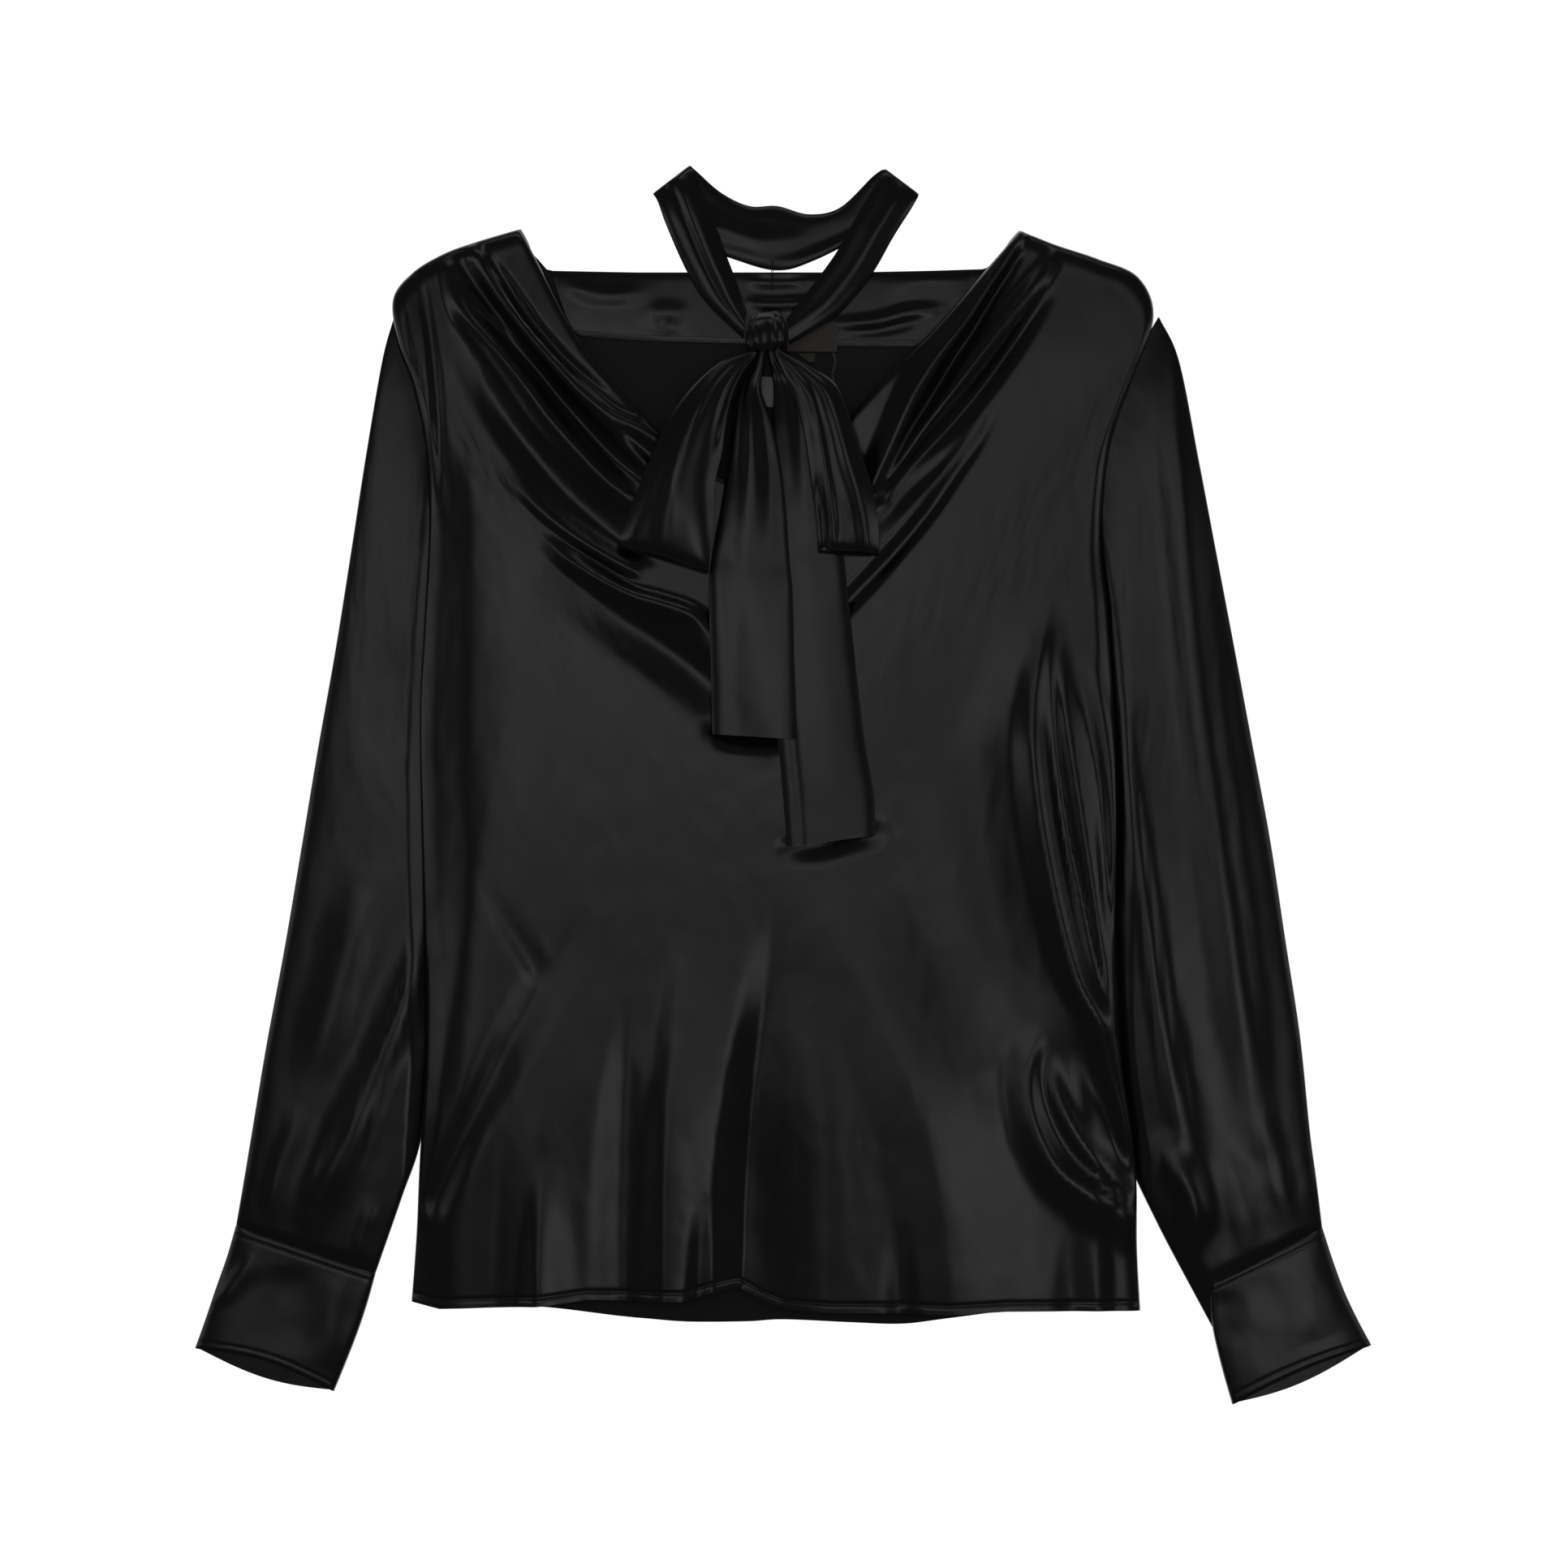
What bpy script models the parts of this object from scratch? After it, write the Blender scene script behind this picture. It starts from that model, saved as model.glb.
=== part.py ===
"""Black satin blouse with a tied neck sash, laid flat with its front up.

Right-hand axes: +X is the right of the laid garment as seen from above, +Y points to the neck, +Z is up
from the table. All tables are in millimetres. Every cloth piece is a thin closed sheet built from a grid.
"""
import math

import bpy
import numpy as np

MM = 0.001
CLOTH_WALL = 1.0
CUFF_WALL = 1.4
SASH_WALL = 1.6
SASH_WIDTH = 51.0
LABEL_WALL = 0.5
SEAM_GAP = 0.4
BACK_TOP = 1.0
FACING_TOP = 2.1
SIDE_TURN = 8.5
NECK_TURN = 5.0
NECK_CORNER = 0.8
EDGE_HEIGHT = 4.95
EDGE_SLOPE = 0.7
FRONT_ROWS = 32
FRONT_COLUMNS = 28
SLEEVE_ROWS = 15
SLEEVE_RING = 20
HEM_LINE = -313.0
NECKLINE_BACK = 311.0

# Front panel, a row of points from the left edge to the right edge for each line across the cloth:
# left x, y; left quarter x, y; middle x, y; right quarter x, y; right x, y.
FRONT_LINES = (
    (-160, 335, -107, 246, -18, 181, 73, 257, 143, 334),
    (-187, 327, -124, 228, -17, 158, 84, 237, 153, 330),
    (-206, 320, -137, 210, -16, 134, 93, 216, 166, 325),
    (-224, 309, -145, 190, -14, 106, 100, 193, 190, 317),
    (-236, 293, -146, 166, -14, 76, 104, 168, 214, 306),
    (-233, 268, -136, 142, -13, 50, 105, 142, 223, 282),
    (-223, 240, -124, 115, -13, 27, 103, 115, 210, 246),
    (-215, 199, -115, 84, -13, 3, 97, 84, 196, 204),
    (-214, 155, -112, 50, -13, -21, 93, 50, 191, 150),
    (-217, 101, -114, 12, -13, -51, 95, 12, 195, 106),
    (-220, 42, -115, -34, -13, -85, 96, -34, 199, 47),
    (-219, -21, -115, -82, -12, -124, 97, -82, 201, -16),
    (-217, -95, -113, -138, -10, -168, 98, -138, 200, -90),
    (-216, -163, -112, -192, -8, -212, 99, -192, 203, -163),
    (-220, -227, -112, -243, -7, -254, 103, -243, 212, -227),
    (-222, -271, -113, -279, -6, -283, 105, -280, 213, -276),
    (-225, -313, -113, -313, -5, -313, 106, -313, 215, -313),
)

# Lower edge of the front: x, y.
FRONT_HEM = (
    (-225, -313), (-208, -317), (-180, -316), (-149, -315), (-119, -311), (-81, -312), (-61, -312),
    (-45, -307), (-28, -304), (-13, -312), (0, -317), (28, -319), (69, -319), (98, -320), (134, -318),
    (215, -318),
)

# Lower edge of the back: x, y.
BACK_HEM = (
    (-216, -313), (-150, -316), (-100, -322), (-81, -324), (-57, -326), (-22, -326), (0, -325), (41, -327),
    (71, -328), (98, -325), (140, -320), (206, -315),
)

# How the front turns under along its sides: inward distance, share of the height.
SIDE_PROFILE = ((8.5, 0.0), (7.2, 0.27), (2.2, 0.4), (0.0, 0.62), (2.2, 0.88), (8.0, 1.0), (14.0, 1.0))

# Folds of the front: height, half width above the line, half width below it, then the line's points x, y.
FRONT_FOLDS = (
    (7.0, 9.0, 7.0, ((-201, 312), (-197, 288), (-170, 254), (-145, 221), (-119, 193), (-93, 176),
                     (-66, 168))),
    (6.5, 7.0, 8.0, ((-185, 319), (-177, 301), (-166, 279), (-145, 257), (-121, 236), (-102, 223),
                     (-76, 206))),
    (-4.5, 8.0, 8.0, ((-187, 292), (-172, 270), (-150, 240), (-125, 214), (-104, 196), (-84, 186))),
    (-4.5, 10.0, 10.0, ((-192, 260), (-166, 224), (-130, 180), (-98, 148))),
    (4.5, 9.0, 9.0, ((-175, 206), (-148, 178), (-120, 148), (-92, 128), (-64, 112), (-40, 92))),
    (-4.0, 14.0, 12.0, ((-196, 196), (-160, 150), (-120, 116), (-80, 90))),
    (6.5, 8.0, 7.0, ((141, 330), (118, 291), (87, 240), (68, 208), (58, 190))),
    (6.0, 7.0, 8.0, ((159, 315), (139, 287), (117, 254), (90, 218), (68, 190))),
    (-3.5, 7.0, 8.0, ((146, 268), (120, 236), (92, 200), (68, 168))),
    (-3.5, 10.0, 12.0, ((139, 226), (124, 196), (101, 166), (75, 138), (42, 109))),
    (4.0, 18.0, 16.0, ((180, 170), (150, 130), (110, 90), (60, 64))),
    (3.5, 22.0, 24.0, ((-176, 60), (-172, -20), (-172, -110), (-168, -230), (-168, -316))),
    (-5.0, 16.0, 16.0, ((-2, -95), (-2, -170), (-1, -240), (-1, -316))),
    (4.5, 20.0, 22.0, ((-58, -140), (-58, -210), (-60, -316))),
    (-4.0, 18.0, 18.0, ((-98, -150), (-99, -220), (-100, -316))),
    (3.5, 16.0, 18.0, ((-136, -190), (-138, -240), (-140, -316))),
    (4.0, 30.0, 30.0, ((70, -90), (76, -170), (78, -316))),
    (-4.0, 18.0, 18.0, ((132, 42), (130, -50), (132, -150))),
    (5.0, 9.0, 9.0, ((155, 75), (150, 18), (158, -53), (176, -114), (197, -142))),
    (5.0, 9.0, 9.0, ((153, -154), (158, -190), (182, -230), (206, -256))),
    (-3.5, 10.0, 10.0, ((172, -160), (184, -196), (196, -222))),
)

# Left sleeve, head first: outer x, y; inner x, y; height of the tube; bow towards the body;
# sag at the inner end.
SLEEVE_LEFT = (
    (-236, 283, -211, 108, 4.6, 10, 0),
    (-243, 256, -212, 84, 7.5, 5, 0),
    (-253, 197, -214, 47, 9.0, 1, 0),
    (-261, 145, -215, 18, 9.5, 0, 0),
    (-271, 82, -216, -16, 10.0, 0, 0),
    (-282, 20, -216, -53, 10.5, 0, 0),
    (-292, -40, -215, -92, 10.5, 0, 0),
    (-302, -99, -214, -132, 10.5, 0, 0),
    (-313, -158, -213, -170, 10.5, 0, 0),
    (-322, -212, -220, -217, 10.5, 0, 0),
    (-327, -242, -231, -250, 10.5, 0, 0),
    (-331.3, -266.6, -246.9, -295.6, 9.5, 0, 0),
)

# Right sleeve, with the same columns.
SLEEVE_RIGHT = (
    (227, 283, 188, 118, 4.6, 13, 0),
    (239, 256, 191, 90, 7.5, 8, 0),
    (251, 195, 193, 52, 9.0, 3, 0),
    (261, 142, 195, 18, 9.5, 0, 0),
    (272, 84, 197, -16, 10.0, 0, 0),
    (283, 25, 198, -53, 10.5, 0, 0),
    (294, -34, 198, -92, 10.5, 0, 0),
    (303, -93, 198, -132, 10.5, 0, 0),
    (312, -152, 199, -173, 10.5, 0, 0),
    (318, -210, 207, -222, 10.5, 0, 0),
    (322, -240, 221, -258, 10.5, 0, 6),
    (325.4, -267.6, 246, -308.4, 9.5, 0, 22),
)

# Folds of the sleeves: height, half width, points x, y.
SLEEVE_LEFT_FOLDS = (
    (3.0, 10.0, ((-214, -92), (-238, -150), (-262, -210), (-284, -258))),
    (-1.2, 12.0, ((-234, 84), (-236, 50), (-240, 20))),
    (2.0, 12.0, ((-252, -60), (-268, -120), (-284, -180))),
)
SLEEVE_RIGHT_FOLDS = (
    (3.0, 10.0, ((226, 284), (238, 190), (250, 60), (274, -120), (286, -214))),
    (2.5, 10.0, ((205, 46), (219, -76), (233, -170), (252, -260))),
    (2.5, 8.0, ((229, -220), (246, -250), (246, -276))),
)

# Cuffs, with the same columns.
CUFF_LEFT = (
    (-331.5, -267, -247, -296, 9.5, 0, 0),
    (-337, -286, -252, -314, 9.5, 0, 0),
    (-344, -306, -258, -332, 10.0, 0, 0),
    (-350, -324, -265, -350, 10.5, 0, 0),
    (-356, -341, -272, -367, 11.0, 0, 0),
)
CUFF_RIGHT = (
    (325.5, -268, 257.5, -303, 9.5, 0, 0),
    (332, -288, 258, -318, 9.5, 0, 0),
    (339, -307, 260, -333, 10.0, 0, 0),
    (347, -324, 265, -354, 10.5, 0, 0),
    (355, -339, 271, -375, 11.0, 0, 0),
)
# How far the upper layer of a cuff is drawn back at the mouth, and how far the lower layer comes out.
CUFF_LEFT_MOUTH = (6.0, 6.0)
CUFF_RIGHT_MOUTH = (3.0, 6.0)

# Neck loop of the sash, from the knot up the left, behind the neck and down the right:
# inner x, y; outer x, y; height above what lies below; arch across the width.
NECK_LOOP = (
    (-23.2, 285.4, -24.7, 270.0, 4.6, 0.6),
    (-28, 301, -47, 292, 3.8, 1.6),
    (-36, 322, -59, 311, 4.4, 2.0),
    (-46, 349, -71, 338, 5.6, 1.6),
    (-54, 370, -76, 352, 5.4, 1.0),
    (-57, 374, -79, 357, 3.6, 0.2),
    (-53, 371, -74, 350, 1.6, 0.0),
    (-38, 358, -60, 328, 1.4, 0.4),
    (-21, 350, -34, 319, 1.4, 0.8),
    (-4, 350, -5, 311, 1.5, 1.2),
    (15, 345, 18, 317, 1.4, 0.8),
    (34, 349, 50, 334, 1.4, 0.4),
    (54, 368, 74, 352, 1.6, 0.0),
    (61, 372, 81, 357, 3.6, 0.2),
    (58, 367, 78, 350, 5.4, 1.0),
    (44, 343, 66, 331, 5.6, 1.6),
    (31, 320, 52, 307, 4.4, 2.0),
    (14, 297, 32, 284, 3.8, 1.6),
    (1.5, 281.0, 3.3, 266.0, 4.4, 0.6),
)

# Bow loops, top layer from the knot to the fold: left x, y; right x, y; height; arch.
BOW_LEFT = (
    (-19.4, 268, -16.8, 268, 10.0, 0.0),
    (-20.0, 260.5, -16.8, 259.5, 10.2, 0.3),
    (-36, 255, -25, 247, 10.5, 1.0),
    (-51, 243, -31, 234, 10.0, 2.0),
    (-65, 226, -35, 216, 9.5, 3.0),
    (-75, 208, -38, 198, 9.0, 3.5),
    (-83, 189, -42, 180, 8.5, 3.5),
    (-92, 166, -43, 156, 7.5, 3.0),
    (-98, 148, -45, 134, 6.0, 2.0),
    (-99, 143, -45.5, 127.5, 3.6, 0.5),
)
BOW_RIGHT = (
    (-5.6, 268, -2.4, 268, 12.0, 0.0),
    (-5.6, 259.5, -2.0, 260.5, 12.4, 0.3),
    (0, 247, 16, 251, 12.8, 1.0),
    (7, 233, 31, 240, 12.4, 2.0),
    (12, 216, 39, 221, 11.5, 3.0),
    (15, 198, 46, 199, 11.0, 3.5),
    (18, 176, 53, 177, 10.5, 3.5),
    (20, 158, 56, 160, 9.6, 3.0),
    (20.5, 145, 57, 142, 8.0, 2.0),
    (20.5, 140, 57.5, 137.5, 5.8, 0.5),
)

# Tails of the sash: left x, y; right x, y; height; arch.
TAIL_LEFT = (
    (-14.6, 268, -11.4, 268, 7.2, 0.0),
    (-17, 256, -12.6, 255, 6.4, 0.3),
    (-26, 240, -14, 238, 5.6, 0.8),
    (-30, 222, -8, 220, 5.0, 1.2),
    (-34, 191, -2, 191, 4.2, 1.2),
    (-38, 166, 1, 164, 3.6, 1.0),
    (-43, 139, 3, 136, 3.2, 0.8),
    (-45, 116, 5, 114, 3.0, 0.8),
    (-44, 72, 6, 70, 3.0, 0.8),
    (-43, 30, 7, 27, 3.0, 0.6),
)
TAIL_RIGHT = (
    (-10.2, 268, -7.2, 268, 3.9, 0.0),
    (-9, 257, -3, 256, 3.2, 0.0),
    (-7, 248, 6, 245, 1.9, 0.3),
    (-6, 238, 12, 236, 1.5, 0.5),
    (-7, 222, 20, 220, 1.4, 0.5),
    (-12, 190, 28, 190, 1.4, 0.4),
    (-12, 160, 33, 158, 1.4, 0.4),
    (-11, 128, 37, 126, 1.3, 0.4),
    (-9, 92, 41, 90, 1.2, 0.4),
    (-6, 56, 45, 54, 1.2, 0.4),
    (-3, 20, 49, 22, 1.2, 0.6),
    (0, -12, 54, -6, 1.2, 0.6),
    (2, -38, 55, -31, 1.2, 0.6),
)

# Knot: across x, low z, high z, for each ring along y from the neck side to the bow side.
KNOT_RINGS = (
    (284, -21.0, -1.5, 3.6, 15.0),
    (280, -22.0, -0.5, 3.2, 18.0),
    (274, -23.0, 1.0, 3.2, 20.0),
    (268, -23.0, 1.4, 3.2, 20.5),
    (264, -22.8, 1.4, 3.2, 20.0),
    (261.5, -22.6, 1.2, 3.2, 19.0),
)

BLACK_SATIN = ("black satin", (0.016, 0.016, 0.017, 1.0), 0.4)
BLACK_MATTE = ("black cloth, wrong side", (0.010, 0.010, 0.011, 1.0), 0.85)
LABEL_BROWN = ("brown label", (0.16, 0.09, 0.08, 1.0), 0.7)
TAPE_BEIGE = ("beige tape", (0.45, 0.36, 0.27, 1.0), 0.8)
TAPE_WHITE = ("white tape", (0.62, 0.62, 0.60, 1.0), 0.8)
THREAD = ("thread", (0.03, 0.03, 0.03, 1.0), 0.7)


def spline(points, at):
    """Values of a smooth curve through the points, at shares from 0 to 1 of their count."""
    points = np.asarray(points, float)
    first = 2 * points[:1] - points[1:2]
    last = 2 * points[-1:] - points[-2:-1]
    padded = np.concatenate((first, points, last))
    spans = len(points) - 1
    place = np.clip(np.asarray(at, float), 0.0, 1.0) * spans
    index = np.minimum(place.astype(int), spans - 1)
    f = (place - index).reshape((-1,) + (1,) * (points.ndim - 1))
    a = padded[index]
    b = padded[index + 1]
    c = padded[index + 2]
    d = padded[index + 3]
    slope = c - a
    bend = 2 * a - 5 * b + 4 * c - d
    twist = 3 * b - a - 3 * c + d
    return 0.5 * (2 * b + slope * f + bend * f ** 2 + twist * f ** 3)


def smooth_rows(table, count):
    """Rows of a table, smoothly filled in to the given count."""
    return spline(np.array(table, float), np.linspace(0.0, 1.0, count))


def ease(value):
    """Smooth step from 0 to 1."""
    value = np.clip(value, 0.0, 1.0)
    return value * value * (3.0 - 2.0 * value)


def fold_height(x, y, height, above, below, points):
    """Height that one fold adds at the places x, y: its line is a spline, its ends fade out."""
    line = spline(points, np.linspace(0.0, 1.0, 25))
    step = line[1:] - line[:-1]
    flat = np.stack((np.ravel(x), np.ravel(y)), 1)
    offset = flat[:, None, :] - line[None, :-1, :]
    share = np.clip((offset * step).sum(2) / (step ** 2).sum(1), 0.0, 1.0)
    away = offset - share[:, :, None] * step
    distance = np.hypot(away[:, :, 0], away[:, :, 1])
    nearest = distance.argmin(1)
    rows = np.arange(len(flat))
    side = step[nearest, 0] * away[rows, nearest, 1] - step[nearest, 1] * away[rows, nearest, 0]
    width = np.where(side > 0, above, below)
    along = (nearest + share[rows, nearest]) / len(step)
    fade = ease(along / 0.18 + 0.25) * ease((1.0 - along) / 0.22 + 0.2)
    value = height * fade * np.exp(-(distance[rows, nearest] / width) ** 2)
    return value.reshape(np.shape(x))


def front_height(x, y):
    """Height of the front cloth above the table, away from its turned edges."""
    side = np.minimum(x + 222.0, 205.0 - x)
    base = 11.0 + 2.4 * np.exp(-((side - 30.0) / 26.0) ** 2)
    base = base - 2.0 * np.exp(-((x + 8.0) / 70.0) ** 2 - ((y - 190.0) / 90.0) ** 2)
    base = base - 2.0 * ease((y - 250.0) / 80.0)
    for height, above, below, points in FRONT_FOLDS:
        base = base + fold_height(x, y, height, above, below, points)
    low = 5.6
    return low + np.logaddexp(0.0, (base - low) / 1.2) * 1.2


def neckline_at(x):
    """Height on the page of the front neckline at each x."""
    line = spline(np.array(FRONT_LINES[0], float).reshape(5, 2), np.linspace(0.0, 1.0, 60))
    return np.interp(x, line[:, 0], line[:, 1])


def ground(x, y):
    """Top of what lies below the sash at each place."""
    on_back = ease((318.0 - y) / 6.0) * (FACING_TOP + 0.5)
    on_front = ease((neckline_at(x) + 24.0 - y) / 22.0)
    return on_back * (1.0 - on_front) + on_front * (front_height(x, y) + 1.1)


def normals_of(grid, closed):
    """Unit normals of a grid of points."""
    if closed:
        across = np.roll(grid, -1, 1) - np.roll(grid, 1, 1)
    else:
        across = np.gradient(grid, axis=1)
    along = np.gradient(grid, axis=0)
    normal = np.cross(across, along)
    return normal / np.maximum(np.linalg.norm(normal, axis=2, keepdims=True), 1e-9)


def material(node, finish):
    """Material of one node in the given finish."""
    name, colour, roughness = finish
    made = bpy.data.materials.new(f"{node}, {name}")
    made.use_nodes = True
    shader = made.node_tree.nodes["Principled BSDF"]
    shader.inputs["Base Color"].default_value = colour
    shader.inputs["Roughness"].default_value = roughness
    shader.inputs["Metallic"].default_value = 0.0
    return made


def add_mesh(name, vertices, faces, finish):
    """Add a named piece with its origin at its middle, its vertices given in millimetres."""
    vertices = np.asarray(vertices) * MM
    middle = np.round((vertices.min(0) + vertices.max(0)) / 2.0, 4)
    mesh = bpy.data.meshes.new(name)
    mesh.from_pydata([tuple(v) for v in vertices - middle], [], faces)
    mesh.validate()
    mesh.materials.append(material(name, finish))
    mesh.shade_smooth()
    piece = bpy.data.objects.new(name, mesh)
    bpy.context.scene.collection.objects.link(piece)
    piece.location = middle
    piece.parent = bpy.data.objects["blouse"]
    return piece


def sheet(name, grid, wall, finish, closed=False):
    """Closed thin sheet round a grid of middle points, as a strip or, when closed, as a tube."""
    grid = np.asarray(grid, float)
    rows, columns = grid.shape[:2]
    normal = normals_of(grid, closed) * wall / 2.0
    vertices = np.concatenate(((grid + normal).reshape(-1, 3), (grid - normal).reshape(-1, 3)))
    count = rows * columns
    spans = columns if closed else columns - 1
    height = grid[:, :, 2].ravel()
    faces = []
    for i in range(rows - 1):
        for j in range(spans):
            k = (j + 1) % columns
            a = i * columns + j
            b = i * columns + k
            c = (i + 1) * columns + k
            d = (i + 1) * columns + j
            # Both sides of the cloth are split along the same line, the one that runs with the fold.
            if abs(height[a] - height[c]) <= abs(height[b] - height[d]):
                halves = ((a, b, c), (a, c, d))
            else:
                halves = ((a, b, d), (b, c, d))
            for half in halves:
                faces.append(half)
                faces.append(tuple(v + count for v in half[::-1]))
    for j in range(spans):
        k = (j + 1) % columns
        end = (rows - 1) * columns
        faces.append((k, j, j + count, k + count))
        faces.append((end + j, end + k, end + k + count, end + j + count))
    if not closed:
        for i in range(rows - 1):
            a = i * columns
            b = a + columns
            faces.append((a, b, b + count, a + count))
            c = a + columns - 1
            d = c + columns
            faces.append((d, c, c + count, d + count))
    return add_mesh(name, vertices, faces, finish)


def edge_places(edge, share, hand):
    """Point of a side edge at a share of its length in rows, and the direction inwards from it."""
    place = spline(edge, [share])[0]
    before = spline(edge, [max(share - 0.015, 0.0)])[0]
    after = spline(edge, [min(share + 0.015, 1.0)])[0]
    way = (after - before) / np.linalg.norm(after - before)
    return place, hand * np.array((-way[1], way[0]))


def front_panel():
    """Front with its cowl folds, its sides rolled under and its neckline turned in."""
    lines = np.array(FRONT_LINES, float).reshape(-1, 5, 2)
    shares = np.concatenate(((0.0, 0.0, 0.006), np.linspace(0.03, 1.0, FRONT_ROWS - 3)))
    drops = np.concatenate(((4.4, 2.2, 0.5), np.zeros(FRONT_ROWS - 3)))
    starts = np.concatenate(((NECK_TURN,), np.zeros(FRONT_ROWS - 1)))
    hem = np.array(FRONT_HEM, float)
    tops = np.array([inward for inward, part in SIDE_PROFILE if part > 0.5])
    unders = np.array([inward for inward, part in SIDE_PROFILE if part < 0.5])[:, None]
    inner = np.linspace(0.0, 1.0, FRONT_COLUMNS - 2 * len(SIDE_PROFILE) + 2)[1:-1]
    parts = np.array([part for inward, part in SIDE_PROFILE])
    part = np.concatenate((parts, np.ones(len(inner)), parts[::-1]))
    seam = BACK_TOP + SEAM_GAP + CLOTH_WALL / 2.0 + 0.1
    grid = []
    for share, drop, start in zip(shares, drops, starts):
        row = spline(lines, [share])[0]
        below = spline(lines, [min(share + 0.02, 1.0)])[0]
        fine = spline(row, np.linspace(0.0, 1.0, 80))
        way = spline(below, np.linspace(0.0, 1.0, 80)) - fine
        way = way / np.maximum(np.linalg.norm(way, axis=1, keepdims=True), 1e-6)
        length = np.concatenate(([0.0], np.cumsum(np.linalg.norm(fine[1:] - fine[:-1], axis=1))))
        total = length[-1]
        reach = np.concatenate((tops, tops[-1] + inner * (total - 2 * tops[-1]), total - tops[::-1]))
        left, left_in = edge_places(lines[:, 0], share, 1.0)
        right, right_in = edge_places(lines[:, 4], share, -1.0)
        along = np.column_stack((np.interp(reach, length, fine[:, 0]), np.interp(reach, length, fine[:, 1])))
        place = np.concatenate((left + unders * left_in, along, right + unders[::-1] * right_in))
        reach = np.concatenate(([0.0] * len(unders), reach, [total] * len(unders)))
        turned = ease((np.minimum(reach, total - reach) - 6.0) / 16.0)
        heights = front_height(place[:, 0], place[:, 1])
        if start:
            move = (start + NECK_CORNER) * turned - NECK_CORNER
            place[:, 0] += move * np.interp(reach, length, way[:, 0])
            place[:, 1] += move * np.interp(reach, length, way[:, 1])
        hem_move = np.interp(place[:, 0], hem[:, 0], hem[:, 1]) - HEM_LINE
        place[:, 1] += ease((share - 0.86) / 0.14) * hem_move
        z = seam + part * (heights - seam - drop)
        grid.append(np.column_stack((place, z)))
    return sheet("front", np.array(grid)[:, ::-1], CLOTH_WALL, BLACK_SATIN)


def back_panel():
    """Back, flat on the table, cut a little inside the rolled sides of the front."""
    inset = SIDE_TURN - 1.0
    lines = np.array(FRONT_LINES, float).reshape(-1, 5, 2)
    left = []
    right = []
    for share in np.linspace(4.0 / (len(lines) - 1.0), 1.0, 14):
        place, way = edge_places(lines[:, 0], share, 1.0)
        left.append(place + inset * way)
        place, way = edge_places(lines[:, 4], share, -1.0)
        right.append(place + inset * way)
    left[0] += (0.0, -5.0)
    right[0] += (0.0, -5.0)
    neck_left = np.array((-150.0, 319.0))
    neck_right = np.array((131.0, 320.0))
    top = np.array((
        left[0], (-212, 302), (-188, 315), (-158, 326), neck_left, (-143, NECKLINE_BACK),
        (-90, NECKLINE_BACK - 1), (-30, NECKLINE_BACK - 1), (40, NECKLINE_BACK - 1), (90, NECKLINE_BACK),
        (122, NECKLINE_BACK + 1),
        neck_right, (141, 325), (162, 316), (184, 308), right[0],
    ))
    hem = np.array(BACK_HEM, float)
    low = np.stack((np.interp(np.linspace(0, 1, len(top)), np.linspace(0, 1, len(hem)), hem[:, 0]),
                    np.interp(np.linspace(0, 1, len(top)), np.linspace(0, 1, len(hem)), hem[:, 1])), 1)
    across = np.linspace(0.0, 1.0, len(top))
    grid = []
    for v in np.linspace(0.0, 1.0, 13):
        a = spline(left, [v])[0]
        b = spline(right, [v])[0]
        sides = a + (b - a) * across[:, None]
        ends = top * (1.0 - v) + low * v
        corners = ((top[0] + (top[-1] - top[0]) * across[:, None]) * (1.0 - v)
                   + (low[0] + (low[-1] - low[0]) * across[:, None]) * v)
        place = sides + ends - corners
        grid.append(np.column_stack((place, np.full(len(top), CLOTH_WALL / 2.0))))
    return sheet("back", np.array(grid)[:, ::-1], CLOTH_WALL, BLACK_MATTE)


def back_facing():
    """Satin facing inside the back neckline, laid on the back."""
    top = np.array(((-141, 309.5), (-90, 308.5), (-30, 308.5), (40, 308.5), (90, 309.5), (120, 310.5)))
    low = np.array(((-128, 272), (-91, 269), (-31, 267), (34, 265.5), (85, 265.5), (112, 268)))
    wall = FACING_TOP - BACK_TOP - 0.3
    grid = []
    for v in np.linspace(0.0, 1.0, 6):
        line = spline(top * (1.0 - v) + low * v, np.linspace(0.0, 1.0, 17))
        ridge = 0.5 * math.sin(math.pi * v) * (1.0 + np.sin(line[:, 0] / 23.0)) / 2.0
        z = np.full(len(line), BACK_TOP + 0.3 + wall / 2.0) + ridge
        grid.append(np.column_stack((line, z)))
    return sheet("back_neck_facing", np.array(grid)[:, ::-1], wall, BLACK_SATIN)


def outside_body(place):
    """How far places x, y lie outside the side edges of the front."""
    lines = np.array(FRONT_LINES, float).reshape(-1, 5, 2)[4:]
    left = spline(lines[:, 0], np.linspace(0.0, 1.0, 60))[::-1]
    right = spline(lines[:, 4], np.linspace(0.0, 1.0, 60))[::-1]
    low_side = np.interp(place[:, 1], left[:, 1], left[:, 0]) - place[:, 0]
    high_side = place[:, 0] - np.interp(place[:, 1], right[:, 1], right[:, 0])
    return np.maximum(np.maximum(low_side, high_side), 0.0)


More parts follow.
